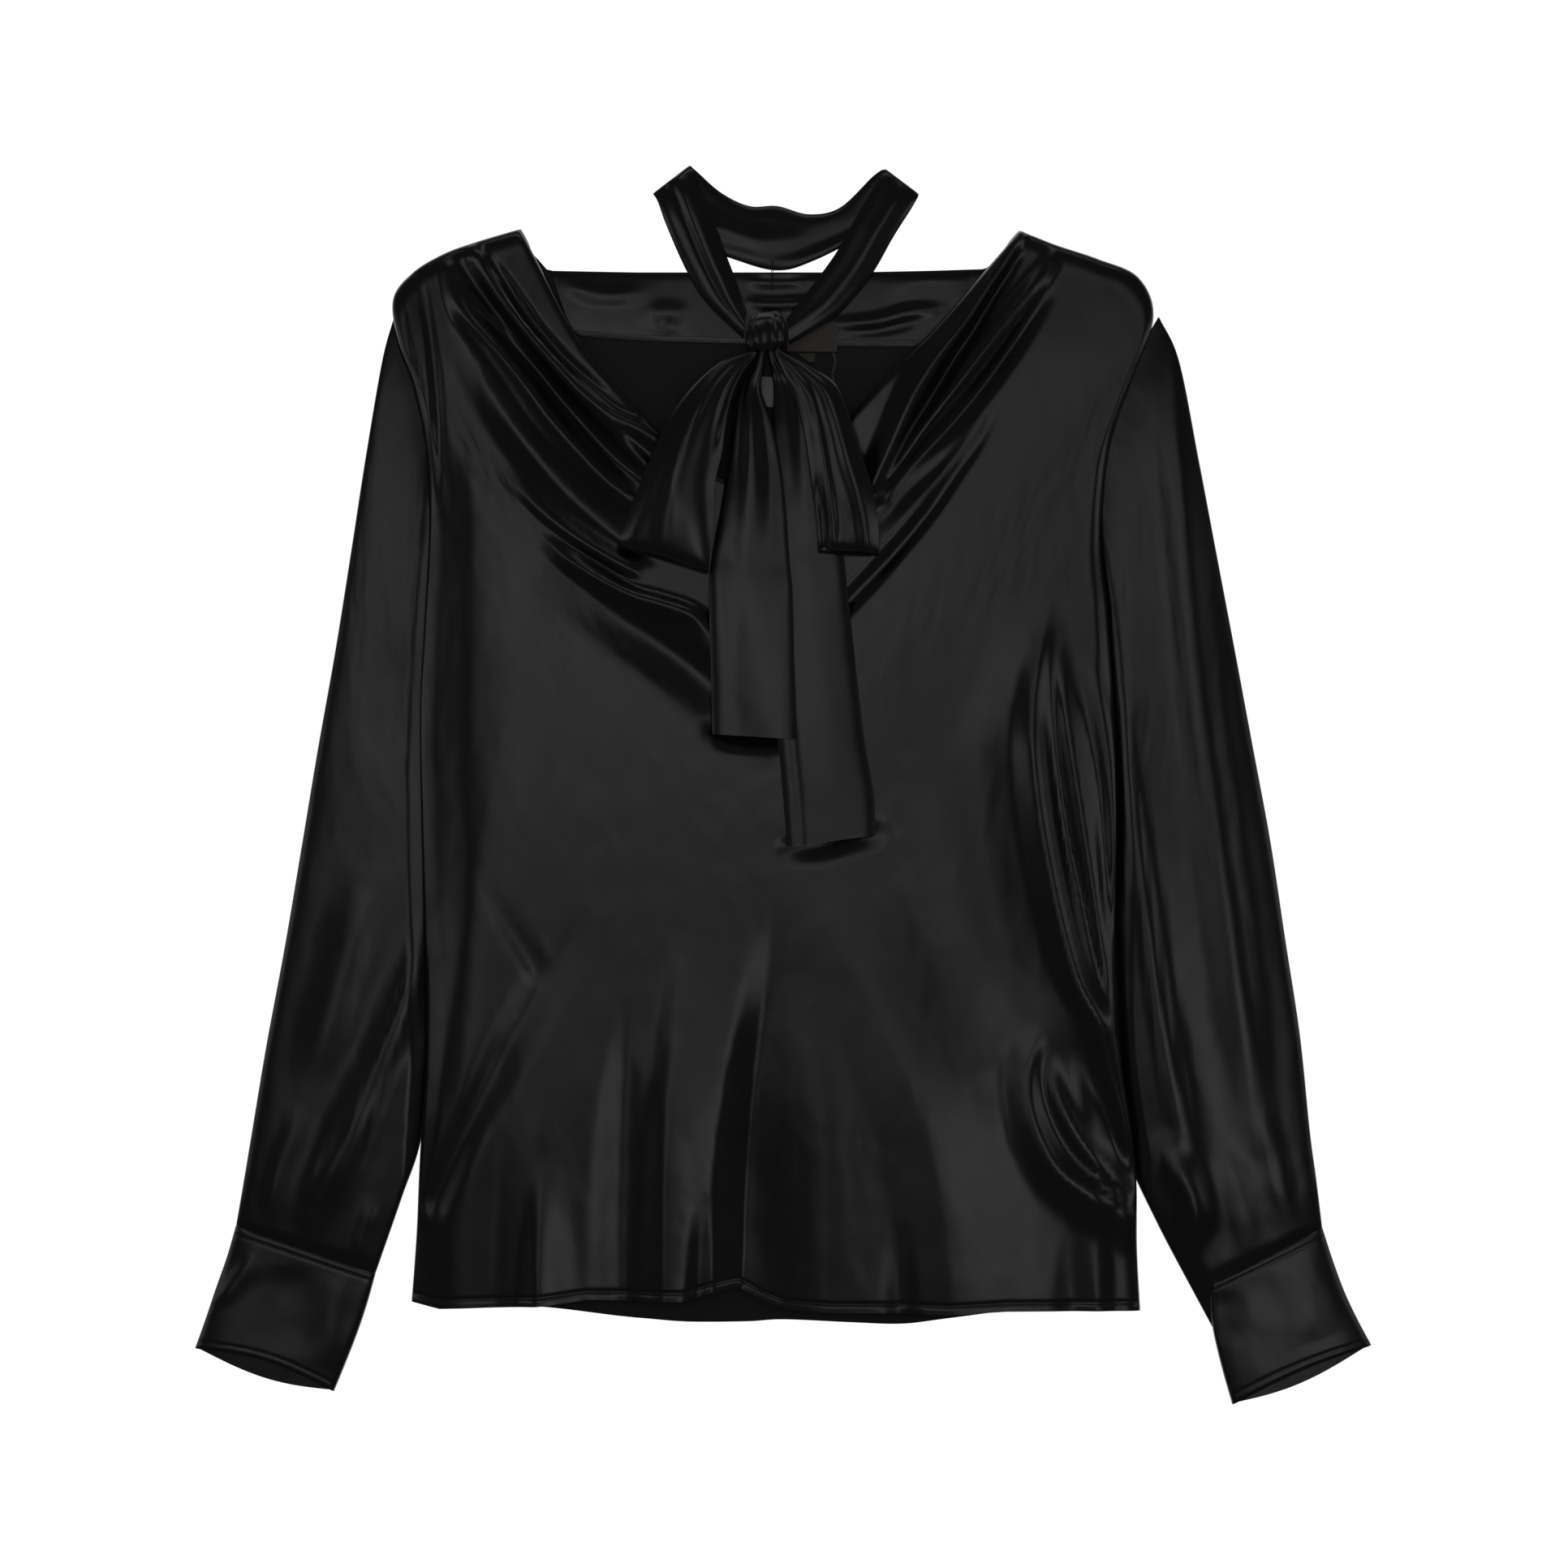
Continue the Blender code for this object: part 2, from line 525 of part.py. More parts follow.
def tube(name, table, folds, wall, finish, rows, mouth=(0.0, 0.0), tucked=False):
    """Flattened tube on the table from its sections, outer edge to inner edge."""
    sections = smooth_rows(table, rows)
    grid = []
    turn = np.linspace(0.0, 2.0 * math.pi, SLEEVE_RING, endpoint=False)
    for index, (outer_x, outer_y, inner_x, inner_y, height, bow, sag) in enumerate(sections):
        outer = np.array((outer_x, outer_y))
        inner = np.array((inner_x, inner_y))
        half = np.linalg.norm(inner - outer) / 2.0
        way = (inner - outer) / (2.0 * half)
        low = wall / 2.0
        cosine = np.cos(turn)
        sine = np.sin(turn)
        across = np.sign(cosine) * (half - low) * (1.0 - (1.0 - np.abs(cosine)) ** 1.5)
        place = (outer + inner) / 2.0 + across[:, None] * way
        share = 0.5 + across / (2.0 * half)
        towards = math.copysign(bow, inner_x - outer_x)
        place[:, 0] += towards * 5.2 * share * (1.0 - share) ** 1.3
        hang = sag * ease((share - 0.9) / 0.1)
        place += np.column_stack((0.375 * hang, -hang))
        open_end = ease((index / (rows - 1.0) - 0.4) / 0.6) * np.sin(math.pi * share)
        place[:, 1] += open_end * np.where(sine > 0.01, mouth[0], -mouth[1])
        tall = np.minimum(height, EDGE_HEIGHT + EDGE_SLOPE * outside_body(place)) if tucked else height
        radius = tall / 2.0 - low
        z = low + radius * (1.0 + np.sign(sine) * np.abs(sine) ** 0.5)
        for depth, width, points in folds:
            free = ease((radius - 2.2) / 2.0) if tucked else 1.0
            z = z + fold_height(place[:, 0], place[:, 1], depth, width, width, points) * ease(sine) * free
        grid.append(np.column_stack((place, z)))
    return sheet(name, np.array(grid), wall, finish, closed=True)


def strip(name, sections, wall, finish, columns=6, tilt=0.0):
    """Strip of sash from its sections, laid over what is below it; tilt lifts its right edge."""
    grid = []
    across = np.linspace(0.0, 1.0, columns)
    for left_x, left_y, right_x, right_y, lift, arch in sections:
        x = left_x + (right_x - left_x) * across
        y = left_y + (right_y - left_y) * across
        z = ground(x, y) + lift + arch * (1.0 - (2.0 * across - 1.0) ** 2)
        z = z + tilt * (across - 0.5) * abs(right_x - left_x) / SASH_WIDTH
        grid.append(np.stack((x, y, z), 1))
    return sheet(name, np.array(grid)[:, ::-1], wall, finish)


def bow_loop(name, table, floor_lift):
    """Bow loop: the strip comes down from the knot, turns at the low fold and goes back up below itself."""
    upper = smooth_rows(table, 14)
    lower = upper[::-1].copy()
    steps = np.linspace(0.0, 1.0, len(lower))
    lower[:, 4] = floor_lift
    lower[:, 5] = 0.3
    lower[0, 4] = upper[-1, 4] * 0.5 + floor_lift * 0.5
    lower[:, 4] += 4.5 * ease((steps - 0.75) / 0.2)
    lower = lower[1:]
    return strip(name, np.concatenate((upper, lower)), SASH_WALL, BLACK_SATIN)


def knot():
    """Wrap of the sash round the strips that pass through it."""
    rings = smooth_rows(KNOT_RINGS, 9)
    turn = np.linspace(0.0, 2.0 * math.pi, 18, endpoint=False)
    grid = []
    for y, left, right, low, high in rings:
        cosine = np.cos(turn)
        sine = np.sin(turn)
        x = (left + right) / 2.0 + (right - left) / 2.0 * np.sign(cosine) * np.abs(cosine) ** 0.75
        z = (low + high) / 2.0 + (high - low) / 2.0 * np.sign(sine) * np.abs(sine) ** 0.75
        grid.append(np.stack((x, np.full(len(x), y), z), 1))
    return sheet("sash_knot", np.array(grid)[:, ::-1], SASH_WALL, BLACK_SATIN, closed=True)


def patch(name, corners, z, finish, wall=LABEL_WALL):
    """Flat four-cornered patch of tape: corners x, y in turn."""
    a, b, c, d = (np.array(p, float) for p in corners)
    grid = []
    for v in np.linspace(0.0, 1.0, 4):
        left = a * (1 - v) + d * v
        right = b * (1 - v) + c * v
        grid.append([np.append(left * (1 - u) + right * u, z) for u in np.linspace(0.0, 1.0, 4)])
    return sheet(name, np.array(grid)[:, ::-1], wall, finish)


def thread(name, points, radius, finish):
    """Round thread along a smooth line of points x, y, z."""
    line = smooth_rows(points, 14)
    way = np.gradient(line, axis=0)
    way = way / np.linalg.norm(way, axis=1, keepdims=True)
    side = np.cross(way, (0.0, 0.0, 1.0))
    side = side / np.linalg.norm(side, axis=1, keepdims=True)
    top = np.cross(side, way)
    count = 8
    vertices = []
    for place, across, up in zip(line, side, top):
        for k in range(count):
            angle = 2.0 * math.pi * k / count
            vertices.append(place + radius * (math.cos(angle) * across + math.sin(angle) * up))
    faces = [tuple(range(count)), tuple(len(vertices) - 1 - k for k in range(count))]
    for i in range(len(line) - 1):
        for k in range(count):
            a = i * count + k
            b = i * count + (k + 1) % count
            faces.append((a, a + count, b + count, b))
    return add_mesh(name, vertices, faces, finish)


def build():
    """Build every piece of the blouse."""
    for item in list(bpy.data.objects):
        bpy.data.objects.remove(item, do_unlink=True)
    bpy.context.scene.collection.objects.link(bpy.data.objects.new("blouse", None))
    front_panel()
    back_panel()
    back_facing()
    tube("sleeve_left", SLEEVE_LEFT, SLEEVE_LEFT_FOLDS, CLOTH_WALL, BLACK_SATIN, SLEEVE_ROWS, tucked=True)
    tube("sleeve_right", SLEEVE_RIGHT, SLEEVE_RIGHT_FOLDS, CLOTH_WALL, BLACK_SATIN, SLEEVE_ROWS, tucked=True)
    tube("cuff_left", CUFF_LEFT, (), CUFF_WALL, BLACK_SATIN, 6, CUFF_LEFT_MOUTH)
    tube("cuff_right", CUFF_RIGHT, (), CUFF_WALL, BLACK_SATIN, 6, CUFF_RIGHT_MOUTH)
    strip("sash_neck_loop", smooth_rows(NECK_LOOP, 41), SASH_WALL, BLACK_SATIN)
    knot()
    bow_loop("bow_loop_left", BOW_LEFT, 3.4)
    bow_loop("bow_loop_right", BOW_RIGHT, 4.9)
    strip("sash_tail_left", smooth_rows(TAIL_LEFT, 18), SASH_WALL, BLACK_SATIN, tilt=3.4)
    strip("sash_tail_right", smooth_rows(TAIL_RIGHT, 20), SASH_WALL, BLACK_SATIN)
    patch("neck_label", ((2, 281), (33, 279), (32, 261.5), (2, 262)), FACING_TOP + 1.1, LABEL_BROWN)
    tab_corners = ((8, 261.0), (19, 261.0), (18.5, 255.5), (15, 255.5))
    patch("size_tab", tab_corners, BACK_TOP + 0.8, TAPE_BEIGE)
    patch("care_label", ((-17, 247), (-2, 246), (-3, 228), (-17, 229)), BACK_TOP + 0.7, TAPE_WHITE)
    thread("thread_chain", ((30, 260.5, 3.6), (31, 255, 2.4), (29.5, 249, 2.0), (30, 243, 2.0)), 0.6, THREAD)
    loop_line = ((-7, 299, 3.2), (-7, 304, 3.6), (-7, 309, 5.5), (-7, 313, 5.5), (-7, 317, 4.4))
    thread("back_loop", loop_line, 0.6, THREAD)


build()
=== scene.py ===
"""Black satin blouse laid flat with its front up: its cloth, stitching, labels and studio.

+X is the right of the laid blouse as seen from above, +Y points to the neck and +Z is up from the floor.
Tables are in millimetres, apart from fold lines that drawn() reads: those are places on the flat drawing.
"""

import logging
import math
from collections.abc import Callable
from dataclasses import dataclass
from enum import Enum

import bmesh
import bpy
import numpy as np
from mathutils import Matrix, Vector

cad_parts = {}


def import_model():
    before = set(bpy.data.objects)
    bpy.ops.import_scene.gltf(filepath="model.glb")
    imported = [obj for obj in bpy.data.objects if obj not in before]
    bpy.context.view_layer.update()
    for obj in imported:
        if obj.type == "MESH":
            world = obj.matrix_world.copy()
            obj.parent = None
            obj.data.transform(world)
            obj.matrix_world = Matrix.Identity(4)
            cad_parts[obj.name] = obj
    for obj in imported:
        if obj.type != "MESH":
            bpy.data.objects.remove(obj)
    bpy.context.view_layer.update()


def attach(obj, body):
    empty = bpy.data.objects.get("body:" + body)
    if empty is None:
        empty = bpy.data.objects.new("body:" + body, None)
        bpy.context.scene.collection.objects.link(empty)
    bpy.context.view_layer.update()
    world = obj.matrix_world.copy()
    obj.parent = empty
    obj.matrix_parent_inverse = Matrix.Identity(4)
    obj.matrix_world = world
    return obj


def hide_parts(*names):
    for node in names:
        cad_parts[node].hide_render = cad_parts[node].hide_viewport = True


LOG = logging.getLogger("blouse")
Array = np.ndarray
Steps = tuple[float, ...]
Line = tuple[tuple[float, ...], ...]

MM = 0.001

# The flat drawing that fold lines are placed on: one step of it in millimetres, and its middle.
DRAWING_STEP = 0.49
DRAWING_MIDDLE = (966.0, 966.5)

# Thickness of the cloth in the panels and sleeves, in the double cuffs and in the folded sash.
SATIN_WALL = 0.6
CUFF_WALL = 0.9
SASH_WALL = 1.0

# Heights above the floor: side seam, upper face of the back, upper face of the facing.
SEAM_HEIGHT = 2.0
BACK_TOP = 1.0
FACING_TOP = 2.1

# Edges of the body: inward move at a neckline corner, width turned under at a side, places of the plain
# hem and of the back neckline along y, depth of the turned hem.
NECK_CORNER = 0.8
SIDE_TURN = 8.5
HEM_LINE = -313.0
NECKLINE_BACK = 311.0
HEM_DEPTH = 5.0

# Room for a sleeve below the front's turned side: height there, and its rise for each step outwards.
EDGE_HEIGHT = 4.95
EDGE_SLOPE = 0.7

SASH_WIDTH = 51.0
LIFT_OFF = 0.05


class Hand(Enum):
    """Side of the laid blouse, as seen from above."""

    LEFT = "left"
    RIGHT = "right"


# Front, one row of points from edge to edge for each line across the cloth: x, y of five points.
FRONT_LINES: Line = (
    (-160, 335, -107, 246, -18, 181, 73, 257, 143, 334),
    (-187, 327, -124, 228, -17, 158, 84, 237, 153, 330),
    (-206, 320, -137, 210, -16, 134, 93, 216, 166, 325),
    (-224, 309, -145, 190, -14, 106, 100, 193, 190, 317),
    (-236, 293, -146, 166, -14, 76, 104, 168, 214, 306),
    (-233, 268, -136, 142, -13, 50, 105, 142, 223, 282),
    (-223, 240, -124, 115, -13, 27, 103, 115, 210, 246),
    (-215, 199, -115, 84, -13, 3, 97, 84, 196, 204),
    (-214, 155, -112, 50, -13, -21, 93, 50, 191, 150),
    (-217, 101, -114, 12, -13, -51, 95, 12, 195, 106),
    (-220, 42, -115, -34, -13, -85, 96, -34, 199, 47),
    (-219, -21, -115, -82, -12, -124, 97, -82, 201, -16),
    (-217, -95, -113, -138, -10, -168, 98, -138, 200, -90),
    (-216, -163, -112, -192, -8, -212, 99, -192, 203, -163),
    (-220, -227, -112, -243, -7, -254, 103, -243, 212, -227),
    (-222, -271, -113, -279, -6, -283, 105, -280, 213, -276),
    (-225, -313, -113, -313, -5, -313, 106, -313, 215, -313),
)

FRONT_HEM: Line = (
    (-225, -313), (-208, -317), (-180, -316), (-149, -315), (-119, -311), (-81, -312), (-61, -312),
    (-45, -307), (-28, -304), (-13, -312), (0, -317), (28, -319), (69, -319), (98, -320), (134, -318),
    (215, -318),
)
BACK_HEM: Line = (
    (-216, -313), (-150, -316), (-100, -322), (-81, -324), (-57, -326), (-22, -326), (0, -325), (41, -327),
    (71, -328), (98, -325), (140, -320), (206, -315),
)

# How the front turns under along its sides: inward distance, share of the height.
SIDE_PROFILE: Line = ((8.5, 0.0), (7.2, 0.27), (2.2, 0.4), (0.0, 0.62), (2.2, 0.88), (8.0, 1.0), (14.0, 1.0))

# Rows at the neckline, where the cloth is turned in: inward move, drop, share of the way to the hem.
NECK_ROWS: Line = (
    (5.0, 4.4, 0.0), (2.6, 4.5, 0.0), (0.8, 3.7, 0.0), (0.0, 2.4, 0.0), (0.0, 1.3, 0.0012),
    (0.0, 0.5, 0.0035), (0.0, 0.1, 0.0075),
)

# Folds of the front: heights along the line; widths on the left of the line's way, and on its right, along
# it; then the line, as places on the drawing.
FRONT_FOLDS: tuple[tuple[Steps, Steps, Steps, Line], ...] = (
    # Cowl folds on the left of the chest.
    ((2.0, 6.0, 7.0, 7.0, 5.5, 2.5), (6, 8, 9, 9), (6, 8, 10, 9),
     ((554, 334), (570, 382), (606, 426), (642, 470), (678, 518), (718, 562), (750, 594), (786, 614))),
    ((2.5, 6.5, 6.5, 6.0, 5.0, 3.0), (4, 5, 5, 5), (6, 8, 9, 8),
     ((588, 312), (610, 350), (634, 390), (670, 434), (710, 478), (750, 510), (786, 528), (812, 543))),
    ((-1.0, -3.5, -4.5, -6.0, -5.5, -3.0), (5, 7, 8, 9), (5, 6, 8, 10),
     ((574, 330), (598, 370), (630, 414), (668, 462), (706, 510), (746, 556), (788, 594))),
    ((0.8, 2.2, 2.0, 0.0), (3, 3, 4), (3, 3, 4), ((566, 346), (602, 386), (638, 426), (664, 458))),
    ((-1.0, -2.8, -3.2, -2.6, -0.8), (4, 4, 3), (4, 4, 3),
     ((606, 328), (630, 362), (658, 402), (694, 442), (744, 484))),
    ((0.0, 2.0, 2.6, 1.6), (5, 5, 4), (4, 4, 4), ((736, 512), (760, 536), (782, 560), (802, 584))),
    ((-0.5, -3.5, -4.5, -4.5, -4.0, -2.5), (10, 12, 13, 12), (10, 12, 12, 10),
     ((570, 420), (612, 496), (652, 552), (696, 604), (744, 648), (782, 680))),
    ((0.0, 2.2, 3.0, 2.8), (8, 8, 8), (4, 4, 4), ((616, 582), (678, 640), (726, 674), (772, 700))),
    ((0.0, 3.0, 4.5, 4.8, 4.4, 2.0), (5, 5, 6), (6, 8, 10),
     ((666, 660), (710, 697), (770, 730), (822, 746), (856, 760), (878, 788))),
    ((0.0, -1.8, -1.6, 0.0), (3, 3), (3, 3), ((690, 664), (735, 692), (768, 712), (790, 722))),
    ((0.0, -3.0, -4.5, -4.0, -1.5), (9, 12, 12), (14, 18, 18),
     ((676, 694), (750, 754), (820, 800), (880, 850), (940, 910))),
    # Pulls beside the left armhole.
    ((0.4, 1.0, 1.0, 0.2), (3, 3), (3, 3), ((499, 352), (508, 404), (516, 462), (520, 520))),
    ((0.4, 1.4, 1.4, 0.2), (3, 4), (3, 4), ((510, 345), (521, 420), (530, 520), (533, 640))),
    ((-0.4, -1.2, -1.1, 0.0), (3, 4), (4, 5), ((520, 340), (532, 420), (540, 510), (544, 640))),
    # Cowl folds on the right of the chest.
    ((3.0, 5.0, 6.5, 6.5, 6.0, 3.5), (4, 5, 6, 5), (9, 11, 11, 8),
     ((1257, 288), (1240, 322), (1214, 360), (1188, 402), (1156, 442), (1128, 486), (1100, 545),
      (1074, 600))),
    ((-1.5, -3.8, -4.0, -3.5, -2.0), (4, 5, 4), (3, 4, 4),
     ((1250, 318), (1220, 370), (1176, 440), (1148, 494), (1120, 536), (1080, 606))),
    ((1.5, 4.5, 5.5, 5.5, 5.0, 3.0), (4, 5, 5), (6, 8, 7),
     ((1296, 322), (1264, 366), (1216, 430), (1176, 482), (1136, 530), (1078, 612))),
    ((0.5, 1.6, 1.6, 0.6), (2, 2), (2, 2), ((1306, 326), (1274, 368), (1225, 434), (1184, 488))),
    ((-0.8, -4.0, -4.2, -3.8, -2.0), (5, 7, 6), (4, 5, 5),
     ((1288, 366), (1256, 414), (1216, 470), (1184, 510), (1148, 550), (1096, 604))),
    ((0.0, -2.0, -2.4, -1.0), (5, 7), (5, 7), ((1212, 500), (1164, 562), (1122, 602), (1088, 640))),
    ((0.0, -1.2, -2.4, -3.0, -3.2, -3.0), (3, 4, 4, 5), (5, 6, 7, 7),
     ((1232, 490), (1208, 542), (1178, 584), (1150, 626), (1118, 666), (1086, 702), (1040, 750))),
    # Ridges at the right side.
    ((0.0, 2.5, 3.6, 3.8, 3.6, 3.0, 2.0), (6, 7, 7, 6), (8, 11, 12, 11, 8),
     ((1287, 770), (1274, 860), (1274, 935), (1292, 1060), (1326, 1199), (1370, 1282), (1396, 1400))),
    ((0.0, 2.2, 3.4, 3.8, 2.5), (6, 7), (4, 5),
     ((1300, 785), (1312, 880), (1333, 1015), (1355, 1151), (1374, 1262))),
    ((0.0, 1.4, 2.4, 3.0, 1.5), (4, 4), (5, 7),
     ((1340, 805), (1366, 890), (1376, 970), (1376, 1100), (1373, 1240))),
    ((0.0, -2.4, -2.6, 0.0), (4, 4), (4, 4), ((1298, 840), (1300, 920), (1318, 1050), (1346, 1160))),
    ((0.0, -2.6, -3.0, 0.0), (5, 5), (5, 5), ((1330, 840), (1350, 940), (1362, 1060), (1370, 1180))),
    ((0.0, 3.4, 4.4, 4.2, 3.0), (6, 7), (13, 18),
     ((1277, 1262), (1268, 1350), (1297, 1428), (1345, 1468), (1392, 1494))),
    ((0.0, 2.0, 2.6, 2.0), (6, 8), (5, 5), ((1292, 1300), (1300, 1350), (1336, 1416), (1392, 1474))),
    ((0.0, -2.0, -2.8, -1.5), (8, 9), (8, 9), ((1326, 1270), (1345, 1330), (1368, 1400), (1392, 1452))),
    # Flutes from the waist to the hem.
    ((0.0, 1.6, 3.4, 4.2), (30, 46), (10, 12), ((846, 1150), (832, 1280), (822, 1420), (820, 1614))),
    ((0.0, -1.5, -2.8), (6, 8), (6, 8), ((868, 1470), (864, 1540), (862, 1614))),
    ((0.0, -1.8, -2.6, -2.8), (8, 12, 13), (8, 15, 16),
     ((776, 1230), (770, 1350), (767, 1460), (766, 1614))),
    ((0.0, 2.0, 3.6), (14, 22), (7, 9), ((672, 1430), (664, 1530), (662, 1614))),
    ((0.0, -1.6, -2.6, -3.0), (18, 22), (20, 24), ((640, 1290), (616, 1400), (608, 1500), (606, 1616))),
    ((0.0, 1.0, 2.0, 2.4, 1.4), (30, 30, 20, 9), (22, 20, 14, 8),
     ((626, 900), (594, 1080), (560, 1240), (536, 1380), (520, 1490))),
    ((0.0, -1.4, -2.2, -2.0), (16, 14, 9), (12, 10, 6),
     ((716, 1120), (650, 1240), (588, 1360), (534, 1480))),
    ((0.0, -0.9, -1.2, 0.0), (5, 7), (6, 6), ((584, 1062), (620, 1126), (650, 1176), (674, 1222))),
    ((0.0, -1.2, -2.0), (8, 10), (8, 10), ((1108, 1500), (1110, 1560), (1112, 1616))),
    ((0.0, -1.2, -2.0), (8, 12), (8, 12), ((1318, 1500), (1321, 1560), (1324, 1616))),
    ((0.0, 2.0, 3.0, 3.0), (34, 46), (22, 26), ((1010, 1090), (1090, 1260), (1150, 1420), (1180, 1612))),
    # Where the cloth sinks in front of the ends of the sash.
    ((0.0, -3.2, -3.2, 0.0), (6, 6), (10, 10), ((862, 900), (900, 903), (950, 905), (998, 907))),
    ((0.0, -3.2, -3.2, 0.0), (6, 6), (10, 10), ((952, 1044), (1000, 1040), (1050, 1029), (1098, 1024))),
)

# Broader and softer forms of the front, in the same columns.
FRONT_FORMS: tuple[tuple[Steps, Steps, Steps, Line], ...] = (
    ((0.0, 3.4, 6.2, 7.0, 6.2, 4.0, 0.0), (8, 9, 9, 8), (26, 42, 46, 38, 16),
     ((1287, 740), (1274, 860), (1274, 935), (1292, 1060), (1326, 1199), (1370, 1282), (1396, 1400))),
    ((0.0, -3.4, -5.0, -4.4, 0.0), (26, 36, 40, 36), (36, 50, 54, 44),
     ((1226, 760), (1204, 900), (1206, 1040), (1232, 1180), (1276, 1290))),
)

# The deep flute at the middle of the hem, with a sharp foot, in the same columns.
FRONT_FLUTES: tuple[tuple[Steps, Steps, Steps, Line], ...] = (
    ((0.0, -1.5, -5.8, -9.6, -10.2), (16, 24, 38, 46, 48), (12, 14, 16, 17, 17),
     ((955, 1110), (948, 1200), (930, 1330), (918, 1460), (913, 1616))),
)

# Sleeves, head first: outer x, y; inner x, y; height of the tube; bow towards the body; sag inside.
SLEEVE_TABLES: dict[Hand, Line] = {
    Hand.LEFT: (
        (-236, 283, -211, 108, 4.6, 10, 0),
        (-243, 256, -212, 84, 7.5, 5, 0),
        (-253, 197, -214, 47, 9.0, 1, 0),
        (-261, 145, -215, 18, 9.5, 0, 0),
        (-271, 82, -216, -16, 10.0, 0, 0),
        (-282, 20, -216, -53, 10.5, 0, 0),
        (-292, -40, -215, -92, 10.5, 0, 0),
        (-302, -99, -214, -132, 10.5, 0, 0),
        (-313, -158, -213, -170, 10.5, 0, 0),
        (-322, -212, -220, -217, 10.5, 0, 0),
        (-327, -242, -231, -250, 10.5, 0, 0),
        (-331.3, -266.6, -246.9, -295.6, 9.5, 0, 0),
    ),
    Hand.RIGHT: (
        (227, 283, 188, 118, 4.6, 13, 0),
        (239, 256, 191, 90, 7.5, 8, 0),
        (251, 195, 193, 52, 9.0, 3, 0),
        (261, 142, 195, 18, 9.5, 0, 0),
        (272, 84, 197, -16, 10.0, 0, 0),
        (283, 25, 198, -53, 10.5, 0, 0),
        (294, -34, 198, -92, 10.5, 0, 0),
        (303, -93, 198, -132, 10.5, 0, 0),
        (312, -152, 199, -173, 10.5, 0, 0),
        (318, -210, 207, -222, 10.5, 0, 0),
        (322, -240, 221, -258, 10.5, 0, 6),
        (325.4, -267.6, 246, -308.4, 9.5, 0, 22),
    ),
}

# Folds of the sleeves: height, half width, points x, y.
SLEEVE_FOLDS: dict[Hand, tuple[tuple[float, float, Line], ...]] = {
    Hand.LEFT: (
        (3.0, 10.0, ((-214, -92), (-238, -150), (-262, -210), (-284, -258))),
        (-1.2, 12.0, ((-234, 84), (-236, 50), (-240, 20))),
        (2.0, 12.0, ((-252, -60), (-268, -120), (-284, -180))),
    ),
    Hand.RIGHT: (
        (3.0, 10.0, ((226, 284), (238, 190), (250, 60), (274, -120), (286, -214))),
        (2.5, 10.0, ((205, 46), (219, -76), (233, -170), (252, -260))),
        (2.5, 8.0, ((229, -220), (246, -250), (246, -276))),
    ),
}
SLEEVE_FINE_FOLDS: dict[Hand, tuple[tuple[float, float, Line], ...]] = {
    Hand.LEFT: (
        (1.2, 4.0, ((522, 1142), (490, 1250), (450, 1360), (412, 1479))),
        (-1.2, 6.0, ((505, 1180), (470, 1290), (430, 1400))),
        (1.0, 5.0, ((330, 1500), (345, 1440), (370, 1370))),
        (1.0, 4.0, ((380, 1530), (392, 1470), (410, 1420))),
        (1.2, 3.0, ((440, 1556), (448, 1520), (462, 1480))),
    ),
    Hand.RIGHT: (
        (1.2, 4.0, ((1384, 872), (1413, 1122), (1442, 1315), (1480, 1498))),
        (-1.4, 5.0, ((1398, 900), (1428, 1130), (1462, 1330))),
        (1.4, 3.5, ((1433, 1400), (1452, 1454), (1474, 1503), (1463, 1563))),
        (1.0, 5.0, ((1590, 1510), (1572, 1440), (1556, 1370))),
        (1.0, 4.0, ((1540, 1535), (1524, 1470), (1508, 1410))),
    ),
}

CUFF_TABLES: dict[Hand, Line] = {
    Hand.LEFT: (
        (-331.5, -267, -247, -296, 9.5, 0, 0),
        (-337, -286, -252, -314, 9.5, 0, 0),
        (-344, -306, -258, -332, 10.0, 0, 0),
        (-350, -324, -265, -350, 10.5, 0, 0),
        (-356, -341, -272, -367, 11.0, 0, 0),
    ),
    Hand.RIGHT: (
        (325.5, -268, 257.5, -303, 9.5, 0, 0),
        (332, -288, 258, -318, 9.5, 0, 0),
        (339, -307, 260, -333, 10.0, 0, 0),
        (347, -324, 265, -354, 10.5, 0, 0),
        (355, -339, 271, -375, 11.0, 0, 0),
    ),
}
CUFF_FOLDS: dict[Hand, tuple[tuple[float, float, Line], ...]] = {
    Hand.LEFT: (
        (1.2, 5.0, ((262, 1610), (290, 1580), (314, 1548))),
        (0.9, 12.0, ((425, 1570), (418, 1620), (404, 1690))),
        (-0.9, 16.0, ((352, 1560), (350, 1610), (352, 1670))),
    ),
    Hand.RIGHT: (
        (0.7, 16.0, ((1600, 1545), (1612, 1600), (1630, 1650))),
        (-0.8, 10.0, ((1510, 1590), (1506, 1625), (1512, 1660))),
    ),
}
# How far the upper layer of a cuff is drawn back at the mouth, and how far the lower layer comes out.
CUFF_MOUTHS: dict[Hand, tuple[float, float]] = {Hand.LEFT: (6.0, 6.0), Hand.RIGHT: (3.0, 6.0)}

